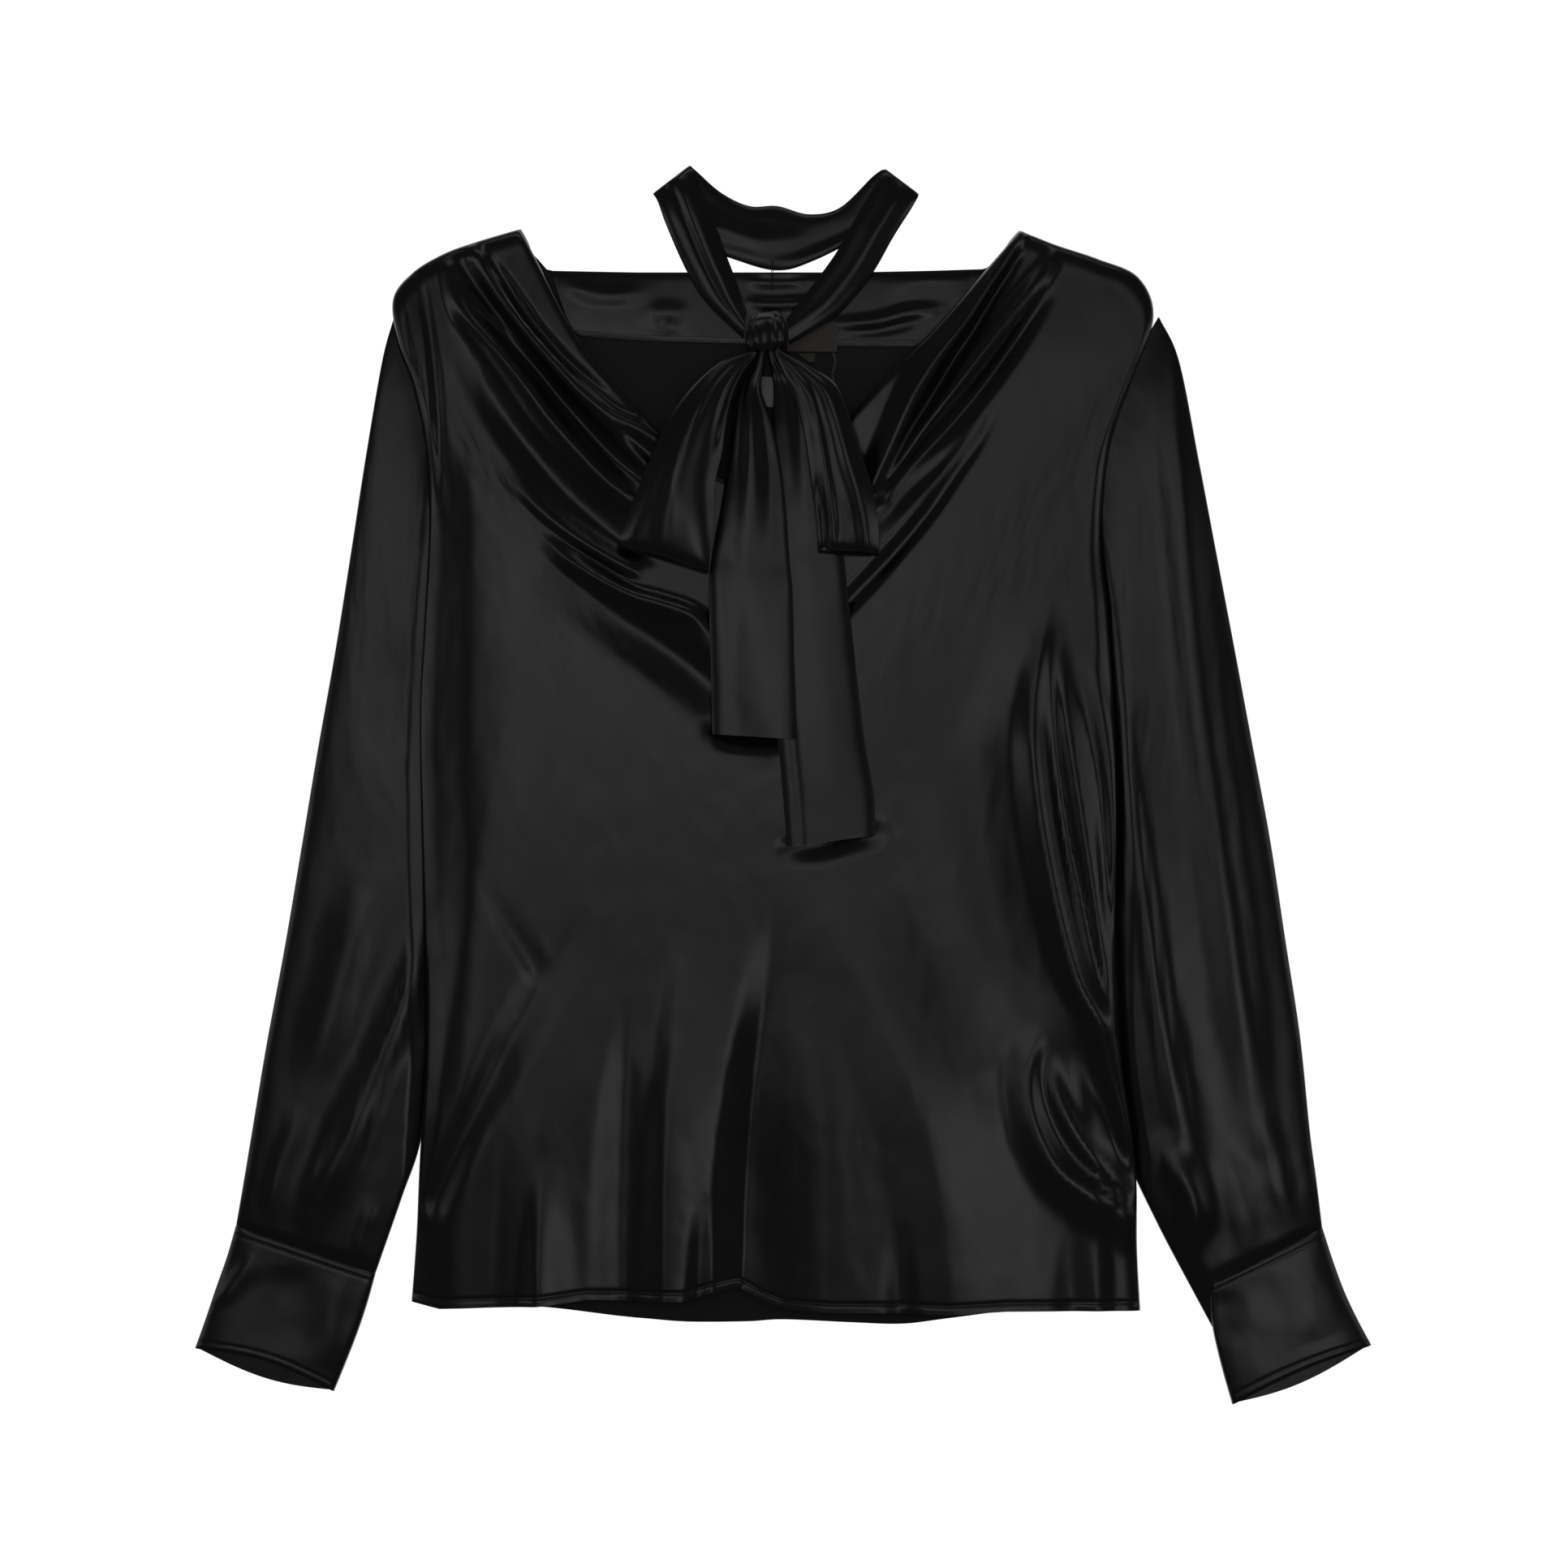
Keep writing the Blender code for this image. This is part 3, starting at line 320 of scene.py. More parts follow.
# Neck loop of the sash: inner x, y; outer x, y; height above what lies below; arch across the width.
NECK_LOOP: Line = (
    (-23.2, 285.4, -24.7, 270.0, 4.6, 0.6),
    (-28, 301, -47, 292, 3.8, 0.9),
    (-36, 322, -59, 311, 4.4, 1.1),
    (-46, 349, -71, 338, 5.6, 0.9),
    (-54, 370, -76, 352, 5.4, 0.6),
    (-57, 374, -79, 357, 3.6, 0.2),
    (-53, 371, -74, 350, 1.6, 0.0),
    (-38, 358, -60, 328, 1.4, 0.4),
    (-21, 350, -34, 319, 1.4, 0.8),
    (-4, 350, -5, 311, 1.5, 1.2),
    (15, 345, 18, 317, 1.4, 0.8),
    (34, 349, 50, 334, 1.4, 0.4),
    (54, 368, 74, 352, 1.6, 0.0),
    (61, 372, 81, 357, 3.6, 0.2),
    (58, 367, 78, 350, 5.4, 0.6),
    (44, 343, 66, 331, 5.6, 0.9),
    (31, 320, 52, 307, 4.4, 1.1),
    (14, 297, 32, 284, 3.8, 0.9),
    (1.5, 281.0, 3.3, 266.0, 4.4, 0.6),
)

# Bow loops, top layer from the knot to the fold: left x, y; right x, y; height; arch.
BOW_TABLES: dict[Hand, Line] = {
    Hand.LEFT: (
        (-19.4, 268, -16.8, 268, 10.0, 0.0),
        (-20.0, 260.5, -16.8, 259.5, 10.2, 0.3),
        (-36, 255, -25, 247, 10.5, 1.0),
        (-51, 243, -31, 234, 10.0, 2.6),
        (-65, 226, -35, 216, 9.5, 4.2),
        (-75, 208, -38, 198, 9.0, 4.8),
        (-83, 189, -42, 180, 8.5, 4.8),
        (-92, 166, -43, 156, 7.5, 4.2),
        (-98, 148, -45, 134, 6.0, 2.6),
        (-99, 143, -45.5, 127.5, 3.6, 0.5),
    ),
    Hand.RIGHT: (
        (-5.6, 268, -2.4, 268, 12.0, 0.0),
        (-5.6, 259.5, -2.0, 260.5, 12.4, 0.3),
        (0, 247, 16, 251, 12.8, 1.0),
        (7, 233, 31, 240, 12.4, 2.6),
        (12, 216, 39, 221, 11.5, 2.6),
        (15, 198, 46, 199, 11.0, 3.0),
        (18, 176, 53, 177, 10.5, 3.0),
        (20, 158, 56, 160, 9.6, 2.6),
        (20.5, 145, 57, 142, 8.0, 2.6),
        (20.5, 140, 57.5, 137.5, 5.8, 0.5),
    ),
}
BOW_FLOORS: dict[Hand, float] = {Hand.LEFT: 4.2, Hand.RIGHT: 5.7}

TAIL_TABLES: dict[Hand, Line] = {
    Hand.LEFT: (
        (-14.6, 268, -11.4, 268, 7.2, 0.0),
        (-17, 256, -12.6, 255, 6.4, 0.3),
        (-26, 240, -14, 238, 5.6, 0.8),
        (-30, 222, -8, 220, 5.0, 1.2),
        (-34, 191, -2, 191, 4.2, 1.2),
        (-38, 166, 1, 164, 3.6, 1.0),
        (-43, 139, 3, 136, 3.2, 0.8),
        (-45, 116, 5, 114, 3.0, 0.8),
        (-44, 72, 6, 70, 3.0, 0.8),
        (-43, 30, 7, 27, 3.0, 0.6),
    ),
    Hand.RIGHT: (
        (-10.2, 268, -7.2, 268, 3.9, 0.0),
        (-9, 257, -3, 256, 3.2, 0.0),
        (-7, 248, 6, 245, 1.9, 0.3),
        (-6, 238, 12, 236, 1.5, 0.5),
        (-7, 222, 20, 220, 1.4, 0.5),
        (-12, 190, 28, 190, 1.4, 0.4),
        (-12, 160, 33, 158, 1.4, 0.4),
        (-11, 128, 37, 126, 1.3, 0.4),
        (-9, 92, 41, 90, 1.2, 0.4),
        (-6, 56, 45, 54, 1.2, 0.4),
        (-3, 20, 49, 22, 1.2, 0.6),
        (0, -12, 54, -6, 1.2, 0.6),
        (2, -38, 55, -31, 1.2, 0.6),
    ),
}

# Knot: along y, low x, high x, low z, high z of each ring from the neck side to the bow side.
KNOT_RINGS: Line = (
    (284, -21.0, -1.5, 3.6, 15.0),
    (280, -22.0, -0.5, 3.2, 18.0),
    (274, -23.0, 1.0, 3.2, 20.0),
    (268, -23.0, 1.4, 3.2, 20.5),
    (264, -22.8, 1.4, 3.2, 20.0),
    (261.5, -22.6, 1.2, 3.2, 19.0),
)


def spline(points: Line | Array, at: Line | Array | list[float]) -> Array:
    """Values of a smooth curve through points.

    Args:
        points: Rows of numbers that the curve passes through.
        at: Shares from 0 to 1 of the way along the rows.

    Returns:
        One row of numbers for each share.
    """
    points = np.asarray(points, float)
    padded = np.concatenate((2 * points[:1] - points[1:2], points, 2 * points[-1:] - points[-2:-1]))
    spans = len(points) - 1
    place = np.clip(np.asarray(at, float), 0.0, 1.0) * spans
    index = np.minimum(place.astype(int), spans - 1)
    f = (place - index).reshape((-1,) + (1,) * (points.ndim - 1))
    a, b, c, d = (padded[index + k] for k in range(4))
    return 0.5 * (2 * b + (c - a) * f + (2 * a - 5 * b + 4 * c - d) * f ** 2
                  + (3 * b - a - 3 * c + d) * f ** 3)


def smooth_rows(table: Line, count: int) -> Array:
    """Rows of a table, smoothly filled in to the given count."""
    return spline(table, np.linspace(0.0, 1.0, count))


def ease(value: Array | float) -> Array:
    """Smooth step from 0 to 1."""
    value = np.clip(value, 0.0, 1.0)
    return value * value * (3.0 - 2.0 * value)


def drawn(line: Line) -> Array:
    """Places on the flat drawing, turned into millimetres x, y."""
    right, down = np.array(line, float).T
    return np.column_stack((right - DRAWING_MIDDLE[0], DRAWING_MIDDLE[1] - down)) * DRAWING_STEP


def on_curve(points: Line | Array, share: float) -> Array:
    """Point of a smooth curve at one share of the way."""
    return spline(points, [share])[0]


def distances(line: Array) -> Array:
    """Distance of each point of a line from its start, measured along the line."""
    return np.concatenate(([0.0], np.cumsum(np.linalg.norm(np.diff(line, axis=0), axis=1))))


def at_distance(line: Array, distance: Array, at: Array | float) -> Array:
    """Points of a line at some distances, given the distance of each of its own points."""
    return np.stack([np.interp(at, distance, column) for column in line.T], -1)


def front_lines() -> Array:
    """Lines across the front, each with five points x, y."""
    return np.array(FRONT_LINES, float).reshape(-1, 5, 2)


def hem_at(x: Array) -> Array:
    """Place of the front's hem along y at each x."""
    hem = np.array(FRONT_HEM, float)
    return np.interp(x, hem[:, 0], hem[:, 1])


def squared(part: Array, power: float) -> Array:
    """Cosine or sine of a ring that is bent from round towards square."""
    return np.sign(part) * np.abs(part) ** power


def add_object(name: str, shape: bmesh.types.BMesh) -> bpy.types.Object:
    """Turn a finished mesh into an object of the scene.

    Args:
        name: Name of the object and of its mesh.
        shape: The finished mesh, which is freed.

    Returns:
        The new object.
    """
    mesh = bpy.data.meshes.new(name)
    shape.to_mesh(mesh)
    shape.free()
    piece = bpy.data.objects.new(name, mesh)
    bpy.context.scene.collection.objects.link(piece)
    return piece


def edge_places(edge: Array, share: float, turn: float) -> tuple[Array, Array]:
    """Point of a side edge and the direction inwards from it.

    Args:
        edge: Points x, y of the edge.
        share: Share of the way down the edge.
        turn: 1 for the left edge, -1 for the right one.

    Returns:
        The point, and the inward direction.
    """
    reach = 0.015
    before, after = on_curve(edge, max(share - reach, 0.0)), on_curve(edge, min(share + reach, 1.0))
    way = (after - before) / np.linalg.norm(after - before)
    return on_curve(edge, share), turn * np.array((-way[1], way[0]))


@dataclass(frozen=True)
class Fold:
    """Ridge along a smooth line, or a trough where its heights are negative.

    Attributes:
        heights: Height at equal steps along the line, in millimetres.
        left: Width of the flank on the left of the line's way, at equal steps.
        right: Width of the flank on its right, at equal steps.
        line: Points x, y of the line in millimetres.
        crest: How round the crest is, as a share of the width.
        foot: How soft the foot of each flank is, as a share of the height.
    """

    heights: Steps
    left: Steps
    right: Steps
    line: Array
    crest: float = 0.22
    foot: float = 0.10
    samples: int = 33

    @classmethod
    def soft(cls, height: float, width: float, line: Array) -> "Fold":
        """Rounder fold with one height, which fades out at both ends."""
        heights = (0.25 * height, height, height, height, 0.2 * height)
        return cls(heights, (width,), (width,), line, crest=0.5, foot=0.16)

    @staticmethod
    def _steps(values: Steps, along: Array) -> Array:
        """Values at shares of the way, smoothly stepped.

        Args:
            values: Values at equal steps.
            along: Shares of the way.

        Returns:
            One value for each share.
        """
        if len(values) == 1:
            return np.full(np.shape(along), float(values[0]))
        return spline(np.array(values, float), np.ravel(along)).reshape(np.shape(along))

    def profile(self, distance: Array) -> Array:
        """Share of the height at a distance from the line, given in widths of the flank.

        Args:
            distance: Distance from the line, divided by the flank's width.

        Returns:
            Shares of the height.
        """
        rounded = np.sqrt(distance ** 2 + self.crest ** 2) - self.crest
        level = np.logaddexp(0.0, (1.0 - rounded) / self.foot) * self.foot
        return level / (np.logaddexp(0.0, 1.0 / self.foot) * self.foot)

    def lift(self, x: Array, y: Array) -> Array:
        """Height that the fold adds.

        Args:
            x: Places along x.
            y: Places along y.

        Returns:
            Millimetres to add at each place.
        """
        line = spline(self.line, np.linspace(0.0, 1.0, self.samples))
        reach = 2.2 * max(*self.left, *self.right)
        flat = np.stack((np.ravel(x), np.ravel(y)), 1)
        near = np.all((flat > line.min(0) - reach) & (flat < line.max(0) + reach), axis=1)
        lifted = np.zeros(len(flat))
        if near.any():
            lifted[near] = self._near(flat[near], line)
        return lifted.reshape(np.shape(x))

    def _near(self, flat: Array, line: Array) -> Array:
        """Height added at places close to the line.

        Args:
            flat: Places x, y.
            line: Points x, y along the fold.

        Returns:
            Millimetres to add at each place.
        """
        step = line[1:] - line[:-1]
        offset = flat[:, None, :] - line[None, :-1, :]
        share = np.clip((offset * step).sum(2) / (step ** 2).sum(1), 0.0, 1.0)
        away = offset - share[:, :, None] * step
        distance = np.hypot(away[:, :, 0], away[:, :, 1])
        nearest = distance.argmin(1)
        rows = np.arange(len(flat))
        side = step[nearest, 0] * away[rows, nearest, 1] - step[nearest, 1] * away[rows, nearest, 0]
        along = (nearest + share[rows, nearest]) / len(step)
        width = np.where(side > 0, self._steps(self.left, along), self._steps(self.right, along))
        return self._steps(self.heights, along) * self.profile(distance[rows, nearest] / width)


@dataclass(frozen=True)
class Pleat:
    """Lengthwise ridge of a strip: rows of share along, share across and height."""

    width: float
    rows: Line

    def lift(self, along: float, across: Array) -> Array:
        """Millimetres that the pleat adds across the strip at one share of its length.

        Args:
            along: Share of the strip's length.
            across: Shares of its width.

        Returns:
            Millimetres to add at each share of the width.
        """
        table = np.array(self.rows, float)
        middle = np.interp(along, table[:, 0], table[:, 1])
        height = np.interp(along, table[:, 0], table[:, 2])
        return height * np.exp(-((across - middle) / self.width) ** 2)


class FrontDrape:
    """Height of the draped front above the floor, and of what carries the sash.

    Attributes:
        PLATEAU: Height of the plain cloth between the sides.
        LEFT_EDGE, RIGHT_EDGE: Places of the sides along x.
        LEFT_ROLL: How deep, how wide and how softly the left side rolls down.
        RIGHT_ROLL: How deep and how wide the right side does.
        ROLL_ENDS: Where both rolls fade out along y, and over what length.
        LEFT_RISE: Height of the soft rise inside the left roll, its distance from the edge, its width.
        BOW_DIP: Depth of the dip below the bow, its place x, y, its widths along x and y.
        SHOULDER_DROP, HEM_RISE: Height, place along y and length of the change towards each end.
        LOWEST_SIDE, LOWEST_MIDDLE: Lowest that a trough reaches near the sides, and in the middle.
        MIDDLE: Where the middle starts, from the nearer side, and over what width.
        SOFTNESS: How softly a trough meets that lowest height.
    """

    PLATEAU = 12.2
    LEFT_EDGE = -220.0
    RIGHT_EDGE = 202.0
    LEFT_ROLL = (6.6, 30.0, 0.12)
    RIGHT_ROLL = (2.4, 15.0)
    ROLL_ENDS = (160.0, 60.0)
    LEFT_RISE = (1.2, 58.0, 28.0)
    BOW_DIP = (5.8, -8.0, 170.0, 62.0, 80.0)
    SHOULDER_DROP = (2.0, 250.0, 80.0)
    HEM_RISE = (1.4, -110.0, 100.0)
    LOWEST_SIDE = 5.6
    LOWEST_MIDDLE = 2.7
    MIDDLE = (36.0, 40.0)
    SOFTNESS = 0.7

    def __init__(self) -> None:
        """Collect the folds and the neckline."""
        self.folds = [Fold(*widths, drawn(line), *shape)
                      for table, shape in ((FRONT_FOLDS, ()), (FRONT_FORMS, (0.3, 0.25)),
                                           (FRONT_FLUTES, (0.05, 0.08)))
                      for *widths, line in table]
        self.neckline = spline(front_lines()[0], np.linspace(0.0, 1.0, 60))

    def plain_height(self, x: Array, y: Array) -> Array:
        """Height of the front before its folds are added.

        Args:
            x: Places along x.
            y: Places along y.

        Returns:
            Height above the floor at each place.
        """
        depth, width, soft = self.LEFT_ROLL
        rolled = depth * soft * np.logaddexp(0.0, (1.0 - (x - self.LEFT_EDGE) / width) / soft)
        depth, width = self.RIGHT_ROLL
        rolled = rolled + depth * (1.0 - ease((self.RIGHT_EDGE - x) / width))
        start, length = self.ROLL_ENDS
        base = self.PLATEAU - rolled * (1.0 - ease((y - start) / length))
        rise, place, width = self.LEFT_RISE
        base = base + rise * np.exp(-((x - self.LEFT_EDGE - place) / width) ** 2)
        dip, middle_x, middle_y, wide, tall = self.BOW_DIP
        base = base - dip * np.exp(-((x - middle_x) / wide) ** 2 - ((y - middle_y) / tall) ** 2)
        drop, start, length = self.SHOULDER_DROP
        base = base - drop * ease((y - start) / length)
        rise, start, length = self.HEM_RISE
        return base + rise * ease((start - y) / length)

    def height(self, x: Array, y: Array) -> Array:
        """Height of the middle of the front cloth at places x, y.

        Args:
            x: Places along x.
            y: Places along y.

        Returns:
            Height above the floor at each place.
        """
        base = self.plain_height(x, y)
        for fold in self.folds:
            base = base + fold.lift(x, y)
        start, width = self.MIDDLE
        middle = ease((np.minimum(x - self.LEFT_EDGE, self.RIGHT_EDGE - x) - start) / width)
        lowest = self.LOWEST_SIDE + (self.LOWEST_MIDDLE - self.LOWEST_SIDE) * middle
        return lowest + np.logaddexp(0.0, (base - lowest) / self.SOFTNESS) * self.SOFTNESS

    def ground(self, x: Array, y: Array) -> Array:
        """Top of what lies below the sash at each place: the floor, the back or the front.

        Args:
            x: Places along x.
            y: Places along y.

        Returns:
            Height above the floor at each place.
        """
        step, back_edge = 6.0, 318.0
        over_facing, over_front = 0.5, 1.1
        on_back = ease((back_edge - y) / step) * (FACING_TOP + over_facing)
        neckline = np.interp(x, self.neckline[:, 0], self.neckline[:, 1])
        on_front = ease((neckline + step - y) / step)
        return on_back * (1.0 - on_front) + on_front * (self.height(x, y) + over_front)

    def bridged(self, x: Array, y: Array, rows: int, columns: int) -> Array:
        """Ground below a strip that spans small dips, as stiff cloth does.

        Args:
            x: Places along x, rows of columns.
            y: Places along y.
            rows: How many rows each way the strip spans.
            columns: How many columns each way the strip spans.

        Returns:
            Height of the ground to lay the strip on.
        """
        level = self.ground(x, y)
        for axis, reach in ((0, rows), (1, columns)):
            level = self._spread(level, axis, reach, np.max)
        for axis, reach in ((0, rows), (1, columns), (0, rows), (1, columns)):
            level = self._spread(level, axis, reach, np.mean)
        return level

    @staticmethod
    def _spread(level: Array, axis: int, reach: int, join: Callable[..., Array]) -> Array:
        """Level joined with its neighbours each way along one axis.

        Args:
            level: Heights, rows of columns.
            axis: 0 for rows, 1 for columns.
            reach: How many neighbours each way.
            join: What makes one height of several.

        Returns:
            The joined heights.
        """
        wide = [(0, 0), (0, 0)]
        wide[axis] = (reach, reach)
        padded = np.pad(level, wide, mode="edge")
        count = level.shape[axis]
        parts = [np.take(padded, np.arange(count) + k, axis=axis) for k in range(2 * reach + 1)]
        return join(np.stack(parts), axis=0)


class Value:
    """Number in a material that Python operators work on by adding Math nodes."""

    def __init__(self, graph: "Graph", socket: bpy.types.NodeSocket) -> None:
        """Wrap one output socket."""
        self.graph = graph
        self.socket = socket

    def _with(self, operation: str, *values: "Value | float") -> "Value":
        """Result of a Math node on the given values."""
        node = self.graph.node("ShaderNodeMath", {"operation": operation}, dict(enumerate(values)))
        return Value(self.graph, node.outputs[0])

    def __add__(self, other: "Value | float") -> "Value":
        """Sum."""
        return self._with("ADD", self, other)

    __radd__ = __add__

    def __sub__(self, other: "Value | float") -> "Value":
        """Difference."""
        return self._with("SUBTRACT", self, other)

    def __rsub__(self, other: float) -> "Value":
        """Difference from a plain number."""
        return self._with("SUBTRACT", other, self)

    def __mul__(self, other: "Value | float") -> "Value":
        """Product."""
        return self._with("MULTIPLY", self, other)

    __rmul__ = __mul__

    def clamped(self) -> "Value":
        """The value held between 0 and 1."""
        return self._with("MINIMUM", self._with("MAXIMUM", self, 0.0), 1.0)


class Graph:
    """Node tree of one material."""

    def __init__(self, name: str) -> None:
        """Start an empty material with the given name."""
        self.material = bpy.data.materials.new(name)
        self.material.use_nodes = True
        self.tree = self.material.node_tree
        self.tree.nodes.clear()

    def node(self, kind: str, settings: dict | None = None, inputs: dict | None = None) -> bpy.types.Node:
        """Add a node.

        Args:
            kind: Blender's name for the node's type.
            settings: Properties of the node, set first.
            inputs: Numbers, colours, values or sockets for its inputs, by name or place.

        Returns:
            The new node.
        """
        node = self.tree.nodes.new(kind)
        for name, setting in (settings or {}).items():
            setattr(node, name, setting)
        for name, given in (inputs or {}).items():
            if isinstance(given, Value):
                given = given.socket
            if isinstance(given, bpy.types.NodeSocket):
                self.tree.links.new(given, node.inputs[name])
            else:
                node.inputs[name].default_value = given
        return node

    def cloth_places(self, scale: tuple[float, float]) -> bpy.types.NodeSocket:
        """Places on the cloth, from its own map in metres, multiplied along and across it.

        Args:
            scale: What multiplies them across and along the cloth.

        Returns:
            Socket that gives the places.
        """
        place = self.node("ShaderNodeUVMap", {"uv_map": "cloth"})
        scaled = self.node("ShaderNodeVectorMath", {"operation": "MULTIPLY"},
                           {0: place.outputs["UV"], 1: (scale[0], scale[1], 1.0)})
        return scaled.outputs["Vector"]

    def noise(self, place: bpy.types.NodeSocket, detail: float = 2.0, rough: float = 0.5) -> Value:
        """Soft noise from 0 to 1 at the given places."""
        made = self.node("ShaderNodeTexNoise", None,
                         {"Vector": place, "Scale": 1.0, "Detail": detail, "Roughness": rough})
        return Value(self, made.outputs[0])

    def blend(self, share: Value, first: tuple[float, ...], second: tuple[float, ...]
              ) -> bpy.types.NodeSocket:
        """Colour between two colours.

        Args:
            share: Share of the second colour.
            first: Red, green and blue of the first colour.
            second: Red, green and blue of the second colour.

        Returns:
            The colour output of the Mix node, which is its third; its colour inputs are at 6 and 7.
        """
        mixed = self.node("ShaderNodeMix", {"data_type": "RGBA"},
                          {0: share, 6: (*first, 1.0), 7: (*second, 1.0)})
        return mixed.outputs[2]

    def bump(self, height: Value, distance: float, below: bpy.types.NodeSocket | None = None
             ) -> bpy.types.NodeSocket:
        """Normal raised by a height of at most the given distance in metres.

        Args:
            height: Height from 0 to 1.
            distance: The greatest height in metres.
            below: Normal of a coarser relief, if there is one.

        Returns:
            Socket that gives the normal.
        """
        inputs = {"Strength": 1.0, "Distance": distance, "Height": height}
        if below is not None:
            inputs["Normal"] = below
        return self.node("ShaderNodeBump", None, inputs).outputs["Normal"]

    def finish(self, inputs: dict) -> bpy.types.Material:
        """Close the material with a Principled shader that has the given inputs.

        Args:
            inputs: Numbers, colours, values or sockets by the names of the shader's inputs.

        Returns:
            The finished material.
        """
        shader = self.node("ShaderNodeBsdfPrincipled", None, inputs)
        self.node("ShaderNodeOutputMaterial", None, {"Surface": shader.outputs[0]})
        return self.material


@dataclass(frozen=True)
class SatinFinish:
    """Glossy face of black silk satin: long floats of yarn, a soft grain and faint creases."""

    dark: tuple[float, float, float] = (0.0050, 0.0052, 0.0046)
    light: tuple[float, float, float] = (0.0085, 0.0086, 0.0080)
    yarns: tuple[float, float] = (2600.0, 700.0)
    clouds: tuple[float, float] = (38.0, 26.0)
    creases: tuple[float, float] = (60.0, 34.0)
    roughness: float = 0.22
    roughness_change: float = 0.05
    grain: float = 0.00003
    creasing: float = 0.00035
    sheen: float = 0.04

    def material(self, name: str) -> bpy.types.Material:
        """Satin material under the given name.

        Args:
            name: What the material is on.

        Returns:
            The new material.
        """
        graph = Graph(f"{name}, black satin")
        yarn = graph.noise(graph.cloth_places(self.yarns), 2.0, 0.6)
        cloudy = graph.noise(graph.cloth_places(self.clouds), 3.0, 0.55)
        crease = graph.noise(graph.cloth_places(self.creases), 1.0, 0.4)
        tone = (cloudy * 0.6 + yarn * 0.4).clamped()
        return graph.finish({
            "Base Color": graph.blend(tone, self.dark, self.light),
            "Roughness": (cloudy - 0.5) * self.roughness_change + self.roughness,
            "Normal": graph.bump(yarn, self.grain, graph.bump(crease, self.creasing)),
            "IOR": 1.5,
            "Sheen Weight": self.sheen,
            "Sheen Roughness": 0.4,
        })


@dataclass(frozen=True)
class WovenFinish:
    """Dull woven cloth: the wrong side of the satin, or the ribbed tape of a label.

    Attributes:
        name: What the finish is called in the material's name.
        dark: Colour of its darkest places.
        light: Colour of its lightest places.
        yarns: How closely the yarns lie, along and across the cloth.
        clouds: How closely its uneven patches lie.
        change: How much the roughness varies.
        relief: Height of the yarns in metres.
        ior: Index of refraction.
    """

    name: str
    dark: tuple[float, float, float]
    light: tuple[float, float, float]
    yarns: tuple[float, float] = (300.0, 2400.0)
    clouds: float = 160.0
    change: float = 0.15
    relief: float = 0.00006
    ior: float = 1.5
    roughness: float = 0.60

    def material(self, name: str) -> bpy.types.Material:
        """Woven material under the given name.

        Args:
            name: What the material is on.

        Returns:
            The new material.
        """
        graph = Graph(f"{name}, {self.name}")
        weave = graph.noise(graph.cloth_places(self.yarns), 1.0, 0.5)
        cloudy = graph.noise(graph.cloth_places((self.clouds, self.clouds)), 2.0, 0.5)
        return graph.finish({
            "Base Color": graph.blend((cloudy * 0.5 + weave * 0.5).clamped(), self.dark, self.light),
            "Roughness": weave * self.change + self.roughness,
            "Normal": graph.bump(weave, self.relief),
            "IOR": self.ior,
        })


@dataclass(frozen=True)
class ThreadFinish:
    """Twisted sewing thread."""

    name: str
    dark: tuple[float, float, float]
    light: tuple[float, float, float]
    roughness: float = 0.5
    twists: float = 2500.0

    def material(self, name: str) -> bpy.types.Material:
        """Thread material under the given name.

        Args:
            name: What the material is on.

        Returns:
            The new material.
        """
        graph = Graph(f"{name}, {self.name}")
        place = graph.node("ShaderNodeTexCoord").outputs["Object"]
        fine = graph.node("ShaderNodeVectorMath", {"operation": "SCALE"}, {0: place, "Scale": self.twists})
        twist = graph.noise(fine.outputs["Vector"], 1.0, 0.5)
        return graph.finish({
            "Base Color": graph.blend(twist, self.dark, self.light),
            "Roughness": twist * 0.2 + self.roughness,
            "Normal": graph.bump(twist, 0.00004),
        })


SATIN = SatinFinish()
WRONG_SIDE = WovenFinish("wrong side", (0.0070, 0.0070, 0.0066), (0.0115, 0.0115, 0.0108),
                         (2200.0, 2200.0), 30.0, 0.1, 0.00004, 1.45)
LABEL = WovenFinish("brown label", (0.070, 0.052, 0.052), (0.115, 0.090, 0.090))
BEIGE_TAPE = WovenFinish("beige tape", (0.050, 0.046, 0.034), (0.085, 0.080, 0.062))
WHITE_TAPE = WovenFinish("white tape", (0.30, 0.30, 0.29), (0.42, 0.42, 0.41))
BLACK_THREAD = ThreadFinish("black thread", (0.006, 0.006, 0.006), (0.016, 0.016, 0.015), 0.45)
PALE_THREAD = ThreadFinish("pale thread", (0.10, 0.09, 0.085), (0.20, 0.19, 0.18))


